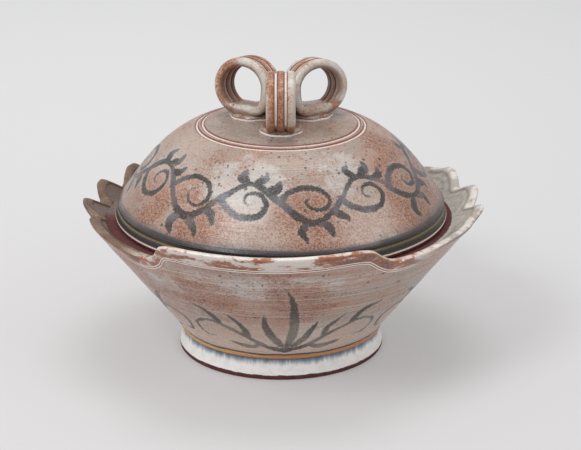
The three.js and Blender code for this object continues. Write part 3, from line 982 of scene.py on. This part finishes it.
def bowl_material():
    r = Clay("bowl_stoneware_glaze")
    outer = r.attribute("outer")
    inner = r.minus(1.0, outer)
    above_line = r.attribute("above_line")
    from_crest = r.attribute("from_crest")
    strength = r.attribute("line_strength")
    turned_right = r.spread(r.x, 10 * MM, 70 * MM)
    white = r.plus(0.4, r.patches(BOWL_WHITE_AT, 30 * MM, 0.11))
    rust = r.minus(r.spread(r.z, 60 * MM, 30 * MM, 0.46, 0.4), r.times(turned_right, 0.14))
    rust = r.plus(rust, r.patches(BOWL_RUST_AT, 34 * MM, 0.19))
    r.stoneware(WARM_GROUND, GREY_GROUND, white, rust, 0.1, 0.35)
    fine_lines = r.thrown(860, 5)
    r.lay(PALE_LINE, outer, r.spread(fine_lines, 0.56, 0.62, 0.0, 0.5))
    thinner = r.minus(0.3, r.times(turned_right, 0.2))
    r.lay(RUST_AND_LINE_SHADOW, outer, r.spread(r.wide_lines, 0.45, 0.35), thinner)
    thinner = r.minus(0.5, r.times(turned_right, 0.25))
    r.lay(RUST_AND_LINE_SHADOW, outer, r.spread(fine_lines, 0.42, 0.34), thinner)
    # Painted light: the outer wall turns paler and pinker towards the foot, against the overhang's shade
    r.lay(LOW_WALL_PAINTED_LIGHT, outer, r.spread(r.z, 24 * MM, 64 * MM, 0.72, 0.0))

    # Rim band and its incised lines
    smear = r.ruffled(r.noise(44, 6, 0.66, 0.4, up=3), r.coarse, 0.3)
    more = r.times(r.spread(r.x, 0, 50 * MM, 0.0, 0.09), r.spread(r.x, 60 * MM, 85 * MM, 1.0, 0.0))
    smear = r.plus(smear, more)
    band = r.mix(r.spread(smear, 0.43, 0.53), RIM_WHITE, RIM_RUST)
    band = r.over(band, RUST_DEEP, r.spread(r.ruffled(smear, r.grain, 0.14), 0.53, 0.66))
    r.lay(band, outer, r.spread(above_line, -0.6 * MM, 0.6 * MM), strength, 0.88)
    for mark in (0, LINE_PITCH):
        # Painted shadow in rust-brown either side of each incised line, with a white line along it
        r.lay(RUST_AND_LINE_SHADOW, r.near(above_line, mark, 0.9 * MM, 0.4 * MM), strength, 0.5)
        r.lay(INCISED_WHITE, r.near(above_line, mark, 0.25 * MM, 0.4 * MM), strength)

    # Inside of the rim: olive with painted shade on the left, pale grey on the right
    on_top = r.spread(r.z, SEAT_HEIGHT - 1 * MM, SEAT_HEIGHT - 0.5 * MM)
    inside = r.mix(r.spread(r.x, -20 * MM, 20 * MM), INSIDE_OLIVE_AND_SHADE, PALE_GREY)
    inside = r.shaded(inside, r.coarse, 0.9, 1.08)
    inside = r.shaded(inside, r.noise(300, 3, 0.6, up=0.12), 0.84, 1.14)
    for drop in (3.6 * MM, 7.4 * MM):
        inside = r.over(inside, MARK_BROWN, r.near(from_crest, drop, 0.3 * MM, 0.9 * MM), 0.25)
    r.lay(inside, r.highest(r.attribute("upstand"), r.times(on_top, inner)), 0.9)

    # Lip
    lip = r.mix(r.spread(smear, 0.47, 0.53), LIP_WHITE, RIM_RUST)
    plain = r.mix(r.spread(smear, 0.5, 0.62), LIP_GREY, LIP_TAN)
    brown = r.mix(r.spread(smear, 0.42, 0.56), LIP_OLIVE, LIP_BROWN)
    brown = r.over(brown, LIP_PALE, r.near(from_crest, 2.8 * MM, 0.1 * MM, 0.5 * MM), 0.6)
    lip = r.over(lip, plain, r.spread(r.x, 100 * MM, 120 * MM))
    lip = r.over(lip, brown, r.spread(r.x, -85 * MM, -112 * MM))
    ragged = r.ruffled(from_crest, r.coarse, 3 * MM)
    ragged = r.plus(ragged, r.spread(r.x, 90 * MM, 115 * MM, 0.0, 0.9 * MM))
    r.lay(lip, r.spread(ragged, 1.2 * MM, 3.2 * MM, 0.88, 0.0))
    # Painted highlight: white patches along the crest, fading out over the left lug
    highlight_patches = r.spread(r.noise(90, 4, 0.6), 0.42, 0.56, 0.0, 0.6)
    crest = r.spread(from_crest, 0.3 * MM, 1.5 * MM, 1.0, 0.0)
    r.lay(CREST_PAINTED_HIGHLIGHT, highlight_patches, crest, r.spread(r.x, -112 * MM, -80 * MM))
    rim_line = r.near(from_crest, 1.6 * MM, 0.3 * MM, 0.7 * MM)
    r.lay(LIP_LINE, outer, rim_line, r.spread(r.x, 110 * MM, 125 * MM), 0.7)

    # Brushwork, and the lines over the foot
    r.brush(INK_OLIVE)
    level = r.ruffled(r.minus(r.z, FOOT_HEIGHT), r.noise(60, 3, 0.6), 2.4 * MM)
    orange = r.mix(r.spread(r.x, -15 * MM, -55 * MM), LINE_ORANGE, LINE_YELLOW)
    r.lay(orange, outer, r.near(level, 1.2 * MM, 1.0 * MM, 0.5 * MM))
    r.lay(LINE_DARK, outer, r.near(level, 3.6 * MM, 0.6 * MM, 0.7 * MM), 0.9)

    # Bare ledge: glaze has run over its outer edge on the right, and over the back on the left
    run_in = r.spread(r.ruffled(r.radius, r.coarse, 1.5 * MM), 124.6 * MM, 125.4 * MM)
    run_in = r.times(run_in, r.spread(r.x, 50 * MM, 90 * MM), on_top, inner)
    behind = r.times(r.spread(r.x, -60 * MM, -90 * MM), r.spread(r.y, -16 * MM, 16 * MM), on_top, 0.95)
    bare = r.spread(r.ruffled(r.attribute("bare"), r.coarse, 0.4), 0.4, 0.6)
    return r.satin(r.times(bare, r.minus(1.0, run_in), r.minus(1.0, behind)))


def foot_material():
    r = Clay("foot_white_glaze")
    r.colour = r.mix(r.spread(r.coarse, 0.35, 0.7), FOOT_WHITE, FOOT_SHADE)
    drip = r.ruffled(r.z, r.noise(260, 5, 0.75, up=0.1), 8 * MM)
    r.lay(FOOT_BLUE, r.spread(drip, 10 * MM, 14.5 * MM, 0.0, 0.85))
    r.lay(FOOT_SLATE, r.spread(drip, 13 * MM, 16.5 * MM, 0.0, 0.85))
    blush = r.spread(r.noise(70, 4, 0.6), 0.55, 0.68)
    r.lay(FOOT_BLUSH, blush, r.spread(r.z, 4 * MM, 8 * MM, 0.4, 0.0))
    edge = r.ruffled(r.z, r.noise(130, 4, 0.7), 2.4 * MM)
    inner = r.spread(r.radius, FOOT_WAIST_RADIUS - 3 * MM, FOOT_WAIST_RADIUS - 2 * MM, 1.0, 0.0)
    return r.satin(r.highest(r.spread(edge, 3.6 * MM, 4.1 * MM, 1.0, 0.0), inner))


def strap_material():
    r = Clay("strap_glaze")
    cloud = r.noise(70, 5, 0.62, 0.3)
    groove = r.attribute("groove")
    browner = r.plus(
        r.spread(r.ruffled(r.x, cloud, 40 * MM), 24 * MM, -20 * MM, 0.1, 0.6),
        r.spread(r.attribute("across"), 2.6 * MM, 4.6 * MM, 0.2, -0.3),
        r.spread(r.x, -24 * MM, -40 * MM, 0.0, 0.5),
        r.times(r.attribute("side"), -0.2),
        r.times(r.attribute("hollow"), 0.5),
    )
    browner = r.ruffled(browner, cloud, 2.0)
    grey = r.mix(r.spread(cloud, 0.4, 0.6), STRAP_PALE, STRAP_GREY)
    r.colour = r.mix(r.spread(browner, 0.15, 0.85), grey, STRAP_BROWN)
    r.lay(STRAP_RUST, r.spread(r.plus(r.grain, browner), 0.9, 1.6, 0.0, 0.8))
    pepper = r.plus(r.spread(r.fine, 0.34, 0.66), r.times(browner, 0.35))
    r.lay(STRAP_SPECK_AND_CREASE_SHADE, r.spread(pepper, 0.8, 1.15, 0.0, 0.6))
    r.lay(GROOVE_EDGE, r.spread(groove, 0.004, 0.1, 0.0, 0.85))
    r.lay(GROOVE_CREAM, r.spread(groove, 0.34, 0.6))
    # Brown glaze with painted shade inside each ring
    r.lay(STRAP_INSIDE_AND_SHADE, r.attribute("inside"), r.spread(groove, 0.2, 0.6, 0.65, 0.2))
    r.lay(STRAP_TUCKED, r.attribute("tucked"), r.spread(cloud, 0.36, 0.56, 0.45, 0.9))
    up = r.ruffled(r.minus(r.z, CROWN_HEIGHT), cloud, 16 * MM)
    r.lay(STRAP_FOOT, r.spread(up, 4.5 * MM, 8 * MM, 0.75, 0.0))
    # Painted shade along the pinched creases
    r.lay(STRAP_SPECK_AND_CREASE_SHADE, r.attribute("seam"), 0.7)
    r.lay(SPECK, r.specks(260, 0.45, 0.2), 0.6)
    r.shade(r.fine, 0.92, 1.07)
    return r.satin()


def collar_material():
    r = Clay("collar_glaze")
    r.colour = r.mix(r.spread(r.ruffled(r.coarse, r.grain, 0.2), 0.35, 0.65), COLLAR_PALE, COLLAR_TAN)
    up = r.ruffled(r.minus(r.z, CROWN_HEIGHT), r.noise(120), 1.2 * MM)
    r.lay(COLLAR_DARK, r.spread(up, 3 * MM, 4.6 * MM, 0.0, 0.8))
    r.lay(COLLAR_LINE, r.near(up, 1.7 * MM, 0.2 * MM, 0.6 * MM), 0.7)
    r.lay(COLLAR_WHITE, r.spread(up, 1 * MM, 1.8 * MM, 1.0, 0.0))
    r.shade(r.fine, 0.88, 1.1)
    return r.satin()


# Pieces

def bowl_section(azimuth):
    """One upright section: rows of radius, height, depth under the line, and flags."""
    crest, flare, line, strength = rim_at(azimuth)
    rows = []

    def add(r, z, outer, bare=0.0, upstand=0.0):
        rows.append((r, z, outer, bare, z - line, crest - z, strength, upstand))

    for share in np.linspace(0, 1, UNDER_ROWS):
        add(FOOT_WAIST_RADIUS * share, FOOT_HEIGHT, 0)
    for turn in np.linspace(0, math.pi, ROUND_ROWS)[1:-1]:
        bulge = math.sin(turn)
        z = FOOT_HEIGHT + BEAD_HEIGHT * (1 - math.cos(turn)) / 2
        edge = lerp(FOOT_WAIST_RADIUS, CONE_FOOT_RADIUS, turn / math.pi)
        add(edge + (BEAD_RADIUS - edge) * bulge, z, 1)
    lip_foot = crest - LIP_ROUND
    line_low = line - LINE_MARGIN
    line_high = min(line + LINE_PITCH + LINE_MARGIN, lip_foot - BAND_GAP)
    for z in np.linspace(cone_foot, line_low, WALL_ROWS):
        swell = WALL_SWELL * math.sin(z / WALL_SWELL_PITCH) * smoothstep(z, *WALL_SWELL_FROM)
        add(wall_outer(z, flare) + swell, z, 1)
    for z in np.linspace(line_low, line_high, LINE_ROWS)[1:]:
        cut = dip(z - line, LINE_HALF_WIDTH) + dip(z - line - LINE_PITCH, LINE_HALF_WIDTH)
        add(wall_outer(z, flare) - LINE_DEPTH * cut * strength, z, 1)
    for share in np.linspace(0, 1, BAND_ROWS)[1:]:
        z = lerp(line_high, lip_foot, share)
        add(wall_outer(z, flare) + BAND_SWELL * math.sin(math.pi * share) * strength, z, 1)

    lip_outer = wall_outer(lip_foot, flare)
    upstand_top = max(lip_foot, SEAT_HEIGHT)
    lip_inner = upstand_inner(upstand_top, flare)
    lip_middle = (lip_outer + lip_inner) / 2
    for turn in np.linspace(0, math.pi / 2, ROUND_ROWS)[1:]:
        up = LIP_ROUND * math.sin(turn)
        add(lip_middle + (lip_outer - lip_middle) * math.cos(turn) + cone_slope * up, lip_foot + up, 1)
    lip_top = lip_middle + cone_slope * LIP_ROUND
    for turn in np.linspace(0, math.pi / 2, ROUND_ROWS)[1:]:
        down = (crest - upstand_top) * (1 - math.cos(turn))
        add(lerp(lip_top, lip_inner, math.sin(turn)), crest - down, 0, 0, 1)
    for share in np.linspace(1, 0, UPSTAND_ROWS)[1:-1]:
        z = lerp(SEAT_HEIGHT, upstand_top, share)
        low = 1 - smoothstep(z - SEAT_HEIGHT, *BARE_RISE)
        add(upstand_inner(z, flare), z, 0, low, 1)
    ledge = [
        (SEAT_OUTER_RADIUS, SEAT_HEIGHT),
        (SEAT_INNER_RADIUS, SEAT_HEIGHT),
        (SEAT_INNER_RADIUS, SEAT_HEIGHT - SEAT_LIP_THICKNESS),
    ]
    for r, z in densify(rounded(ledge, SEAT_EDGE_ROUND), LEDGE_SPACING):
        add(r, z, 0, 1.0)

    def inner(z):
        return wall_outer(z) - WALL_ACROSS

    floor_top = FOOT_HEIGHT + FLOOR_THICKNESS
    haunch, fillet = SEAT_HEIGHT - SEAT_HAUNCH, floor_top + FLOOR_FILLET
    inside = [
        (SEAT_INNER_RADIUS, SEAT_HEIGHT - SEAT_LIP_THICKNESS),
        (inner(haunch), haunch),
        (inner(fillet), fillet),
        ((inner(floor_top) + FLOOR_RADIUS) / 2, floor_top + FLOOR_FILLET / 4),
        (FLOOR_RADIUS, floor_top),
        (0, floor_top),
    ]
    for r, z in densify(rounded(inside, INSIDE_ROUND), INSIDE_SPACING)[1:]:
        add(r, z, 0)
    return rows


def column_azimuths():
    """Columns round the bowl, closer together at the finger-cut lugs."""
    made, turn = [], -180.0
    while turn < 180 - 1e-6:
        made.append(turn + FRONT_TURN)
        in_lug = LUG_START - LUG_STEP <= abs(turn + 0.25) <= LUG_MIDDLE + LOBE_PITCH + LOBE_BACK
        turn += LUG_COLUMN_DEG if in_lug else RIM_COLUMN_DEG
    return made


def make_bowl(material):
    azimuths = column_azimuths()
    sections = [bowl_section(a) for a in azimuths]
    rows = len(sections[0])
    vertices, values = [], []
    for azimuth, section in zip(azimuths, sections):
        turn = math.radians(azimuth)
        for r, z, *rest in section:
            x = min(max(r * math.sin(turn), cad_low.x), cad_high.x)
            y = min(max(-r * math.cos(turn), cad_low.y), cad_high.y)
            vertices.append((x, y, z))
            values.append((*rest, math.hypot(x, y) + z))
    faces = []
    for column in range(len(azimuths)):
        after = (column + 1) % len(azimuths)
        for row in range(rows - 1):
            a, b = column * rows + row, after * rows + row
            faces.append((a, b, b + 1, a + 1))
    made = mesh_object("bowl_glazed", vertices, faces)
    names = ("outer", "bare", "above_line", "from_crest", "line_strength", "upstand", "along")
    for name, column in zip(names, np.array(values).T):
        paint(made, name, column)
    made.data.materials.append(material)
    finish_skin(made)
    flank = [(wall_outer(z), z) for z in np.linspace(cone_foot, SEAT_HEIGHT, FLANK_ROWS)]
    brush_on(made, sprigs(), flank, field(made, "outer") > 0.5)
    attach(made, "bowl")
    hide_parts("bowl_body")


def make_foot(material):
    rest_inner = FOOT_RADIUS - FOOT_EDGE_ROUND - FOOT_REST_WIDTH
    outline = [
        (rest_inner, 0),
        (FOOT_RADIUS - FOOT_EDGE_ROUND, 0),
        (FOOT_RADIUS, FOOT_EDGE_ROUND),
        (FOOT_RADIUS, FOOT_SIDE_HEIGHT),
        (FOOT_WAIST_RADIUS, FOOT_WAIST_HEIGHT),
        (FOOT_WAIST_RADIUS, FOOT_HEIGHT),
        (FOOT_INNER_RADIUS, FOOT_HEIGHT),
        (FOOT_BEVEL_RADIUS, FOOT_BEVEL_HEIGHT),
        (rest_inner, 0),
    ]
    profile = densify(rounded(outline, FOOT_EDGE_ROUND), FOOT_SPACING)[:-1]
    made = turned("foot_ring_glazed", profile, FOOT_STEPS, material, True)
    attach(made, "bowl")
    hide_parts("foot_ring")


def dome_curve(inset, count):
    start = Vector((LID_RADIUS - LID_FLANGE_TAPER - inset, LID_BOTTOM + LID_FLANGE_HEIGHT))
    end = Vector((CROWN_RADIUS, CROWN_HEIGHT - inset))
    a = Vector((start.x - DOME_SHOULDER_IN, start.y + DOME_SHOULDER_UP - inset / 2))
    b = Vector((end.x + DOME_CROWN_PULL - inset / 2, end.y))
    made = []
    for t in np.linspace(0, 1, count).tolist():
        rest = 1 - t
        point = rest**3 * start + 3 * rest * rest * t * a + 3 * rest * t * t * b + t**3 * end
        made.append((point.x, point.y))
    return made


def lid_outer_profile():
    """The lid's outside, from the middle of the crown to the edge it rests on."""
    dome = dome_curve(0, DOME_ROWS)[::-1]
    ringed = [p for p in dome if p[0] < CROWN_RINGS[0] + RING_MARGIN]
    dome = [*densify(ringed, RING_SPACING), *dome[len(ringed):]]
    flange = []
    for up in np.linspace(LID_FLANGE_HEIGHT, LID_EDGE_ROUND, FLANGE_ROWS):
        lean = max(up - LID_EDGE_HEIGHT, 0) / (LID_FLANGE_HEIGHT - LID_EDGE_HEIGHT)
        roll = EDGE_ROLL * dip(up - LID_EDGE_HEIGHT, EDGE_ROLL_HALF)
        cut = LID_GROOVE_DEPTH * dip(up - LID_GROOVE_HEIGHT, GROOVE_HALF_WIDTH)
        flange.append((LID_RADIUS - LID_FLANGE_TAPER * lean - cut - EDGE_ROLL + roll, LID_BOTTOM + up))
    crown = [(CROWN_RADIUS * t, CROWN_HEIGHT) for t in np.linspace(0, 1, CROWN_ROWS)[:-1]]
    made = []
    for r, z in [*crown, *dome, *flange[1:]]:
        for ring in CROWN_RINGS:
            z -= RING_DEPTH * dip(r - ring, RING_HALF_WIDTH)
            z += RING_DEPTH / 4 * dip(abs(r - ring) - RING_RIDGE_AWAY, RING_RIDGE_HALF)
        made.append((r, z))
    return made


def make_lid(material):
    outside = lid_outer_profile()
    edge = [
        outside[-1],
        (LID_RADIUS - LID_EDGE_ROUND, LID_BOTTOM),
        (LID_RADIUS - LID_SEAT_WIDTH, LID_BOTTOM),
    ]
    hollow = [edge[-1], *dome_curve(LID_WALL, HOLLOW_ROWS), (0, CROWN_HEIGHT - LID_WALL)]
    corner = densify(rounded(edge, LID_CORNER_ROUND), EDGE_SPACING)
    profile = [*outside, *corner[1:], *densify(hollow, INSIDE_SPACING)[1:]]
    made = turned("lid_dome_glazed", profile, LID_STEPS, material, False)
    co = np.array([v.co for v in made.data.vertices])
    radius = np.hypot(co[:, 0], co[:, 1])
    shell = np.array(outside)[::-1]
    outer = np.array([np.hypot(*(shell - at).T).min() < SKIN_REACH for at in zip(radius, co[:, 2])])
    paint(made, "outer", outer)
    paint(made, "along", radius - co[:, 2])
    dome = [p for p in shell if p[1] >= LID_BOTTOM + LID_FLANGE_HEIGHT]
    brush_on(made, scroll(), dome, outer)
    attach(made, "lid")
    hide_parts("lid_dome")


def strap_section():
    """The strap's closed section as (distance from its middle, place across it)."""
    half, edge = STRAP_THICKNESS / 2, STRAP_WIDTH / 2
    pitch = STRAP_WIDTH / STRAP_RIBS
    face = []
    for across in np.linspace(-edge, edge, STRAP_COLUMNS):
        rib = (across + edge) % pitch / pitch - 0.5
        inset = STRAP_RIB_CROWN * (2 * rib) ** 2
        for groove in range(1, STRAP_RIBS):
            inset += STRAP_GROOVE_DEPTH * dip(across + edge - groove * pitch, STRAP_GROOVE_HALF)
        to_edge = edge - abs(across)
        if to_edge < STRAP_EDGE_ROUND:
            share = 1 - to_edge / STRAP_EDGE_ROUND
            inset += (half - STRAP_RIB_CROWN) * (1 - math.sqrt(max(1 - share * share, 0)))
        face.append((half - min(inset, half), across))
    back = [(-out, across) for out, across in reversed(face[1:-1])]
    return [*face, *back]


def pinched_seam(co, floor):
    """1 along the creases where the strap's two ends were pinched together at the foot of a loop."""
    seam = np.zeros(len(co))
    for (x0, y0), (x1, y1) in SEAM_LINES:
        start, end = np.array((x0, floor + y0)), np.array((x1, floor + y1))
        along = end - start
        share = np.clip((co[:, :2] - start) @ along / (along @ along), 0, 1)
        away = np.linalg.norm(co[:, :2] - start - share[:, None] * along, axis=1)
        seam = np.maximum(seam, np.exp(-((away / SEAM_HALF_WIDTH) ** 2)))
    on_side = np.abs(co[:, 2]) > STRAP_WIDTH / 2 - STRAP_EDGE_ROUND
    return seam * on_side


def make_loops(material, collar_finish):
    for i, loop in enumerate(LOOPS):
        lean = math.radians(loop["lean"])
        middle = CROWN_HEIGHT + COLLAR_UNDER + loop["half_height"] * math.cos(lean)
        middle += (STRAP_WIDTH / 2 - STRAP_EDGE_ROUND) * math.sin(abs(lean))
        path = []
        for step in range(LOOP_STEPS):
            turn = 2 * math.pi * step / LOOP_STEPS
            outward, up = math.sin(turn), math.cos(turn)
            heel = 1.0
            if up < 0 and outward < 0:
                heel = (abs(up) ** LOOP_HEEL + abs(outward) ** LOOP_HEEL) ** (-1 / LOOP_HEEL)
            along = (LOOP_HALF_LENGTH - STRAP_THICKNESS / 2) * heel
            high = (loop["half_height"] - STRAP_THICKNESS / 2) * heel
            path.append((outward * along, up * high, 0))
        name = f"strap_loop_{loop['side']}_glazed"
        made = carried(name, path, strap_section(), LOOP_STEPS, material, True)
        co = np.array([v.co for v in made.data.vertices])
        pitch = STRAP_WIDTH / STRAP_RIBS
        groove, hollow = np.zeros(len(co)), np.zeros(len(co))
        for k in range(1, STRAP_RIBS):
            away = (co[:, 2] + STRAP_WIDTH / 2 - k * pitch) / STRAP_GROOVE_HALF
            groove += np.exp(-((away / GROOVE_PAINT) ** 2))
            hollow += np.exp(-((away / HOLLOW_PAINT) ** 2))
        ring = np.hypot(co[:, 0] / LOOP_HALF_LENGTH, co[:, 1] / loop["half_height"])
        side = ramp(np.abs(co[:, 2]) - STRAP_WIDTH / 2 + STRAP_EDGE_ROUND, 0, SIDE_WIDTH)
        across = co[:, 2].copy()
        floor = STRAP_THICKNESS + TAIL_RISE - loop["half_height"]
        tail = (ring < 1 - STRAP_THICKNESS / 2 / LOOP_HALF_LENGTH) & (co[:, 1] < floor)
        co[tail, 1] = floor
        under = ramp(co[:, 1] - floor, TUCK_HEIGHT, 0)
        seam = pinched_seam(co, floor)
        co[:, 2] -= np.sign(co[:, 2]) * SEAM_DEPTH * seam
        for name, values in (
            ("groove", np.where(tail, 0, groove)),
            ("hollow", hollow),
            ("across", across),
            ("inside", np.where(tail, 0, ramp(ring, *RING_INSIDE))),
            ("side", side),
            ("tucked", under * ramp(co[:, 0], *TUCK_FROM)),
            ("seam", seam),
        ):
            paint(made, name, values)
        made.data.vertices.foreach_set("co", co.ravel())
        upright = Matrix(((0, 0, 1, 0), (-1, 0, 0, 0), (0, 1, 0, 0), (0, 0, 0, 1)))
        station = Matrix.Rotation(2 * math.pi * i / len(LOOPS), 4, "Z")
        reach = LOOP_MIDDLE_GAP + LOOP_HALF_LENGTH
        place = station @ Matrix.Translation((0, -reach, middle)) @ Matrix.Rotation(lean, 4, "Y") @ upright
        made.data.transform(place)
        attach(made, "lid")
        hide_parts("strap_loop_" + loop["side"])
        make_collar(loop, station, collar_finish)


def make_collar(loop, station, material):
    """Clay pressed round the foot of a loop: an oval skirt with an uneven, thumbed top."""
    around, rows = COLLAR_STEPS, COLLAR_ROWS
    broad, fine, top = COLLAR_THUMBED
    vertices, faces = [], []
    rise = random.uniform(0, 6)
    for row in range(rows + 1):
        t = row / rows
        out = 1 - COLLAR_TAPER * smoothstep(t, 0, COLLAR_RUN)
        out -= (1 - COLLAR_TAPER) * smoothstep(t, COLLAR_TOP_FROM, 1)
        for step in range(around):
            turn = 2 * math.pi * step / around
            thumb = 1 + broad * math.sin(3 * turn + rise) + fine * math.sin(7 * turn + 2 * rise)
            up = COLLAR_HEIGHT * (1 - (1 - min(t / COLLAR_RISE_BY, 1)) ** COLLAR_BULGE)
            up *= 1 - top * (1 + math.sin(4 * turn + rise)) * t
            sides = [turn - 2 * math.pi * side / COLLAR_SIDES for side in range(COLLAR_SIDES // 2)]
            facets = sum(abs(math.cos(side)) ** COLLAR_CORNER for side in sides)
            reach = out * min(thumb, 1) * facets ** (-1 / COLLAR_CORNER)
            x = COLLAR_ACROSS / 2 * reach * math.sin(turn)
            y = -COLLAR_ALONG / 2 * reach * math.cos(turn)
            vertices.append((x, y, up))
    for row in range(rows):
        for step in range(around):
            a, b = row * around + step, row * around + (step + 1) % around
            faces.append((a, b, b + around, a + around))
    faces.append(tuple(range(around))[::-1])
    made = mesh_object("loop_collar_" + loop["side"] + "_glazed", vertices, faces)
    made.data.materials.append(material)
    finish_skin(made)
    reach = LOOP_MIDDLE_GAP + COLLAR_SETBACK + COLLAR_ALONG / 2
    made.data.transform(station @ Matrix.Translation((0, -reach, CROWN_HEIGHT)))
    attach(made, "lid")
    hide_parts("loop_collar_" + loop["side"])


# Stage

def make_floor():
    half = FLOOR_HALF
    corners = [(-half, -half, 0), (half, -half, 0), (half, half, 0), (-half, half, 0)]
    floor = mesh_object("floor", corners, [(0, 1, 2, 3)])
    r = Recipe("pale_floor")
    # Painted shade on the floor: darker towards the camera and towards the right
    pale = r.mix(r.spread(r.y, -0.3, 0.9), FLOOR_NEAR_SHADED, FLOOR_FAR)
    pale = r.over(pale, FLOOR_RIGHT_SHADED, r.spread(r.x, -0.2, 0.8, 0.0, 0.5))
    r.put(r.shader.inputs["Base Color"], pale)
    r.shader.inputs["Roughness"].default_value = 0.9
    r.shader.inputs["Specular IOR Level"].default_value = 0.0
    glow = r.node("ShaderNodeEmission", {"Color": pale, "Strength": 1.0}).outputs[0]
    ray = r.node("ShaderNodeLightPath").outputs
    seen = r.highest(ray["Is Camera Ray"], r.highest(ray["Is Glossy Ray"], ray["Is Transmission Ray"]))
    lit = r.node("ShaderNodeMixShader", {0: r.times(seen, FLOOR_GLOW), 1: r.shader.outputs[0], 2: glow})
    r.put(r.tree.nodes["Material Output"].inputs["Surface"], lit.outputs[0])
    floor.data.materials.append(r.material)


def make_lights():
    world = bpy.data.worlds.new("studio")
    bpy.context.scene.world = world
    world.use_nodes = True
    sky = world.node_tree.nodes["Background"]
    sky.inputs["Color"].default_value = (1, 1, 1, 1)
    sky.inputs["Strength"].default_value = SKY_STRENGTH
    for name, place, size, power in LIGHTS:
        lamp = bpy.data.lights.new(name, "AREA")
        lamp.shape = "DISK"
        lamp.size = size
        lamp.energy = power
        made = object_of(name, lamp)
        made.location = place
        made.rotation_mode = "QUATERNION"
        made.rotation_quaternion = (Vector(LIGHT_AIM) - Vector(place)).to_track_quat("-Z", "Y")


def make_camera():
    data = bpy.data.cameras.new("camera")
    data.sensor_width = SENSOR_WIDTH_MM
    data.lens = FOCAL_PX / FRAME_WIDTH_PX * SENSOR_WIDTH_MM
    data.clip_end = 50
    camera = object_of("camera", data)
    camera.location = CAMERA_AT
    camera.rotation_euler = (math.radians(90 - CAMERA_PITCH_DEG), 0, 0)
    bpy.context.scene.camera = camera


make_camera()
make_lights()
make_floor()
make_bowl(bowl_material())
make_foot(foot_material())
make_lid(lid_material())
make_loops(strap_material(), collar_material())
bpy.context.scene.view_settings.view_transform = "Standard"
